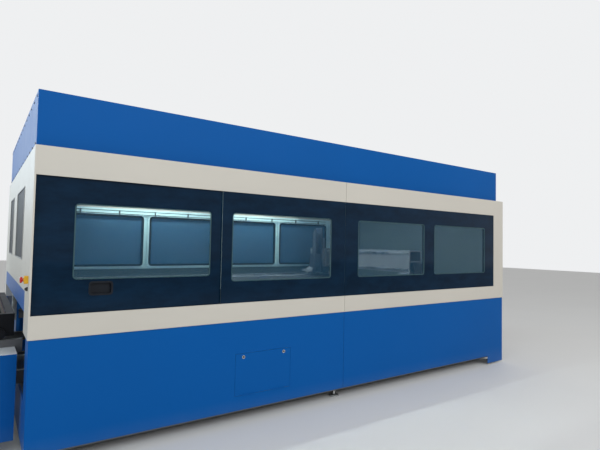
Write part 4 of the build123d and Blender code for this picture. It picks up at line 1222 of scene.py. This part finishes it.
class CUTTER_OT_stage(Operator):
    """Set up the floor, the lamps and the camera"""

    bl_idname = "cutter.stage"
    bl_label = "Stage"

    def execute(self, context):
        stage = context.scene.cutter_stage
        self.floor(stage)
        self.world(context.scene, stage)
        loading_end = (-0.7, 0, 1.5)
        for name, place, target, size, power, colour in (
            ("key_lamp", (2.5, -8.5, 5.4), (1.9, 0, 1.0), (9, 4), stage.key_power, WHITE),
            ("end_lamp", (-4.5, 6.0, 4.0), loading_end, (4, 4), stage.end_power, stage.end_colour),
            ("left_lamp", (-8.0, -5.5, 4.5), loading_end, (4, 4), stage.left_power, stage.end_colour),
        ):
            data = bpy.data.lights.new(name, "AREA")
            data.shape = "RECTANGLE"
            data.size, data.size_y = size
            data.energy = power
            data.color = colour
            aim = (Vector(target) - Vector(place)).to_track_quat("-Z", "Y").to_matrix()
            self.stand(context.scene, name, data, place, aim)
        self.camera(context.scene, stage)
        context.scene.view_settings.view_transform = "Standard"
        return {"FINISHED"}

    def stand(self, scene, name, data, place, turn):
        """Puts a lamp or the camera in the scene."""
        item = bpy.data.objects.new(name, data)
        scene.collection.objects.link(item)
        item.matrix_world = Matrix.Translation(place) @ turn.to_4x4()
        return item

    def floor(self, stage):
        floor = started(bpy.ops.mesh.primitive_plane_add, size=60)
        floor.name = "studio_floor"
        f = Finish("studio_floor")
        patch = f.noise(0.8, 4)
        floor.data.materials.append(f.set(
            Base_Color=f.shades(patch, stage.floor, 0.97, 1.03),
            Roughness=0.6 + patch * 0.1,
        ))

    def world(self, scene, stage):
        """An even light, and the backdrop's colour where the camera, gloss or glass looks out."""
        world = bpy.data.worlds.new("studio")
        scene.world = world
        tree = NodeTree(world)
        even = world.node_tree.nodes["Background"]
        tree.feed(even.inputs["Color"], WHITE)
        tree.feed(even.inputs["Strength"], stage.world_strength)
        seen = tree.add("ShaderNodeBackground", None, {"Color": stage.backdrop})
        camera, glossy, transmission = (
            tree.add("ShaderNodeLightPath", output=f"Is {kind} Ray")
            for kind in ("Camera", "Glossy", "Transmission")
        )
        shown = (camera + glossy + transmission).clamped()
        mixed = tree.add(
            "ShaderNodeMixShader", None, {0: shown, 1: Value(tree, even.outputs[0]), 2: seen}
        )
        tree.feed(world.node_tree.nodes["World Output"].inputs["Surface"], mixed)

    def camera(self, scene, stage):
        ahead = Vector((
            math.sin(stage.yaw) * math.cos(stage.pitch),
            math.cos(stage.yaw) * math.cos(stage.pitch),
            math.sin(stage.pitch),
        ))
        level = Vector((math.cos(stage.yaw), -math.sin(stage.yaw), 0))
        above = level.cross(ahead)
        right = level * math.cos(stage.roll) + above * math.sin(stage.roll)
        up = above * math.cos(stage.roll) - level * math.sin(stage.roll)
        data = bpy.data.cameras.new("photo_camera")
        data.lens = stage.lens
        data.sensor_width = 36
        data.clip_end = 200
        turn = Matrix((right, up, -ahead)).transposed()
        scene.camera = self.stand(scene, "photo_camera", data, stage.camera_place, turn)


STEPS = (
    CUTTER_OT_paint_cabin,
    CUTTER_OT_fit_glass,
    CUTTER_OT_finish_machine,
    CUTTER_OT_finish_table,
    CUTTER_OT_finish_controls,
    CUTTER_OT_window_seals,
    CUTTER_OT_window_shade_films,
    CUTTER_OT_window_gaskets,
    CUTTER_OT_support_slats,
    CUTTER_OT_fascia_screws,
    CUTTER_OT_levelling_feet,
    CUTTER_OT_stop_button,
    CUTTER_OT_key_switch,
    CUTTER_OT_lock_inserts,
    CUTTER_OT_inside_lights,
    CUTTER_OT_drip_plates,
    CUTTER_OT_rear_pipes,
    CUTTER_OT_stage,
)

GROUPS = (
    ("cutter_paint", PaintSettings),
    ("cutter_details", DetailSettings),
    ("cutter_stage", StageSettings),
)


class CUTTER_PT_sidebar(Panel):
    """The machine's settings and steps"""

    bl_idname = "CUTTER_PT_sidebar"
    bl_label = "Sheet laser cutter"
    bl_space_type = "VIEW_3D"
    bl_region_type = "UI"
    bl_category = "Laser Cutter"

    def draw(self, context):
        for name, group in GROUPS:
            box = self.layout.box()
            for setting in group.__annotations__:
                box.prop(getattr(context.scene, name), setting)
        for step in STEPS:
            self.layout.operator(step.bl_idname)


def register():
    for name, group in GROUPS:
        bpy.utils.register_class(group)
        setattr(bpy.types.Scene, name, PointerProperty(type=group))
    for step in STEPS:
        bpy.utils.register_class(step)
    bpy.utils.register_class(CUTTER_PT_sidebar)


def unregister():
    bpy.utils.unregister_class(CUTTER_PT_sidebar)
    for step in reversed(STEPS):
        bpy.utils.unregister_class(step)
    for name, group in reversed(GROUPS):
        delattr(bpy.types.Scene, name)
        bpy.utils.unregister_class(group)


def main():
    register()
    for step in STEPS:
        area, action = step.bl_idname.split(".")
        getattr(getattr(bpy.ops, area), action)()


if __name__ == "__main__":
    main()
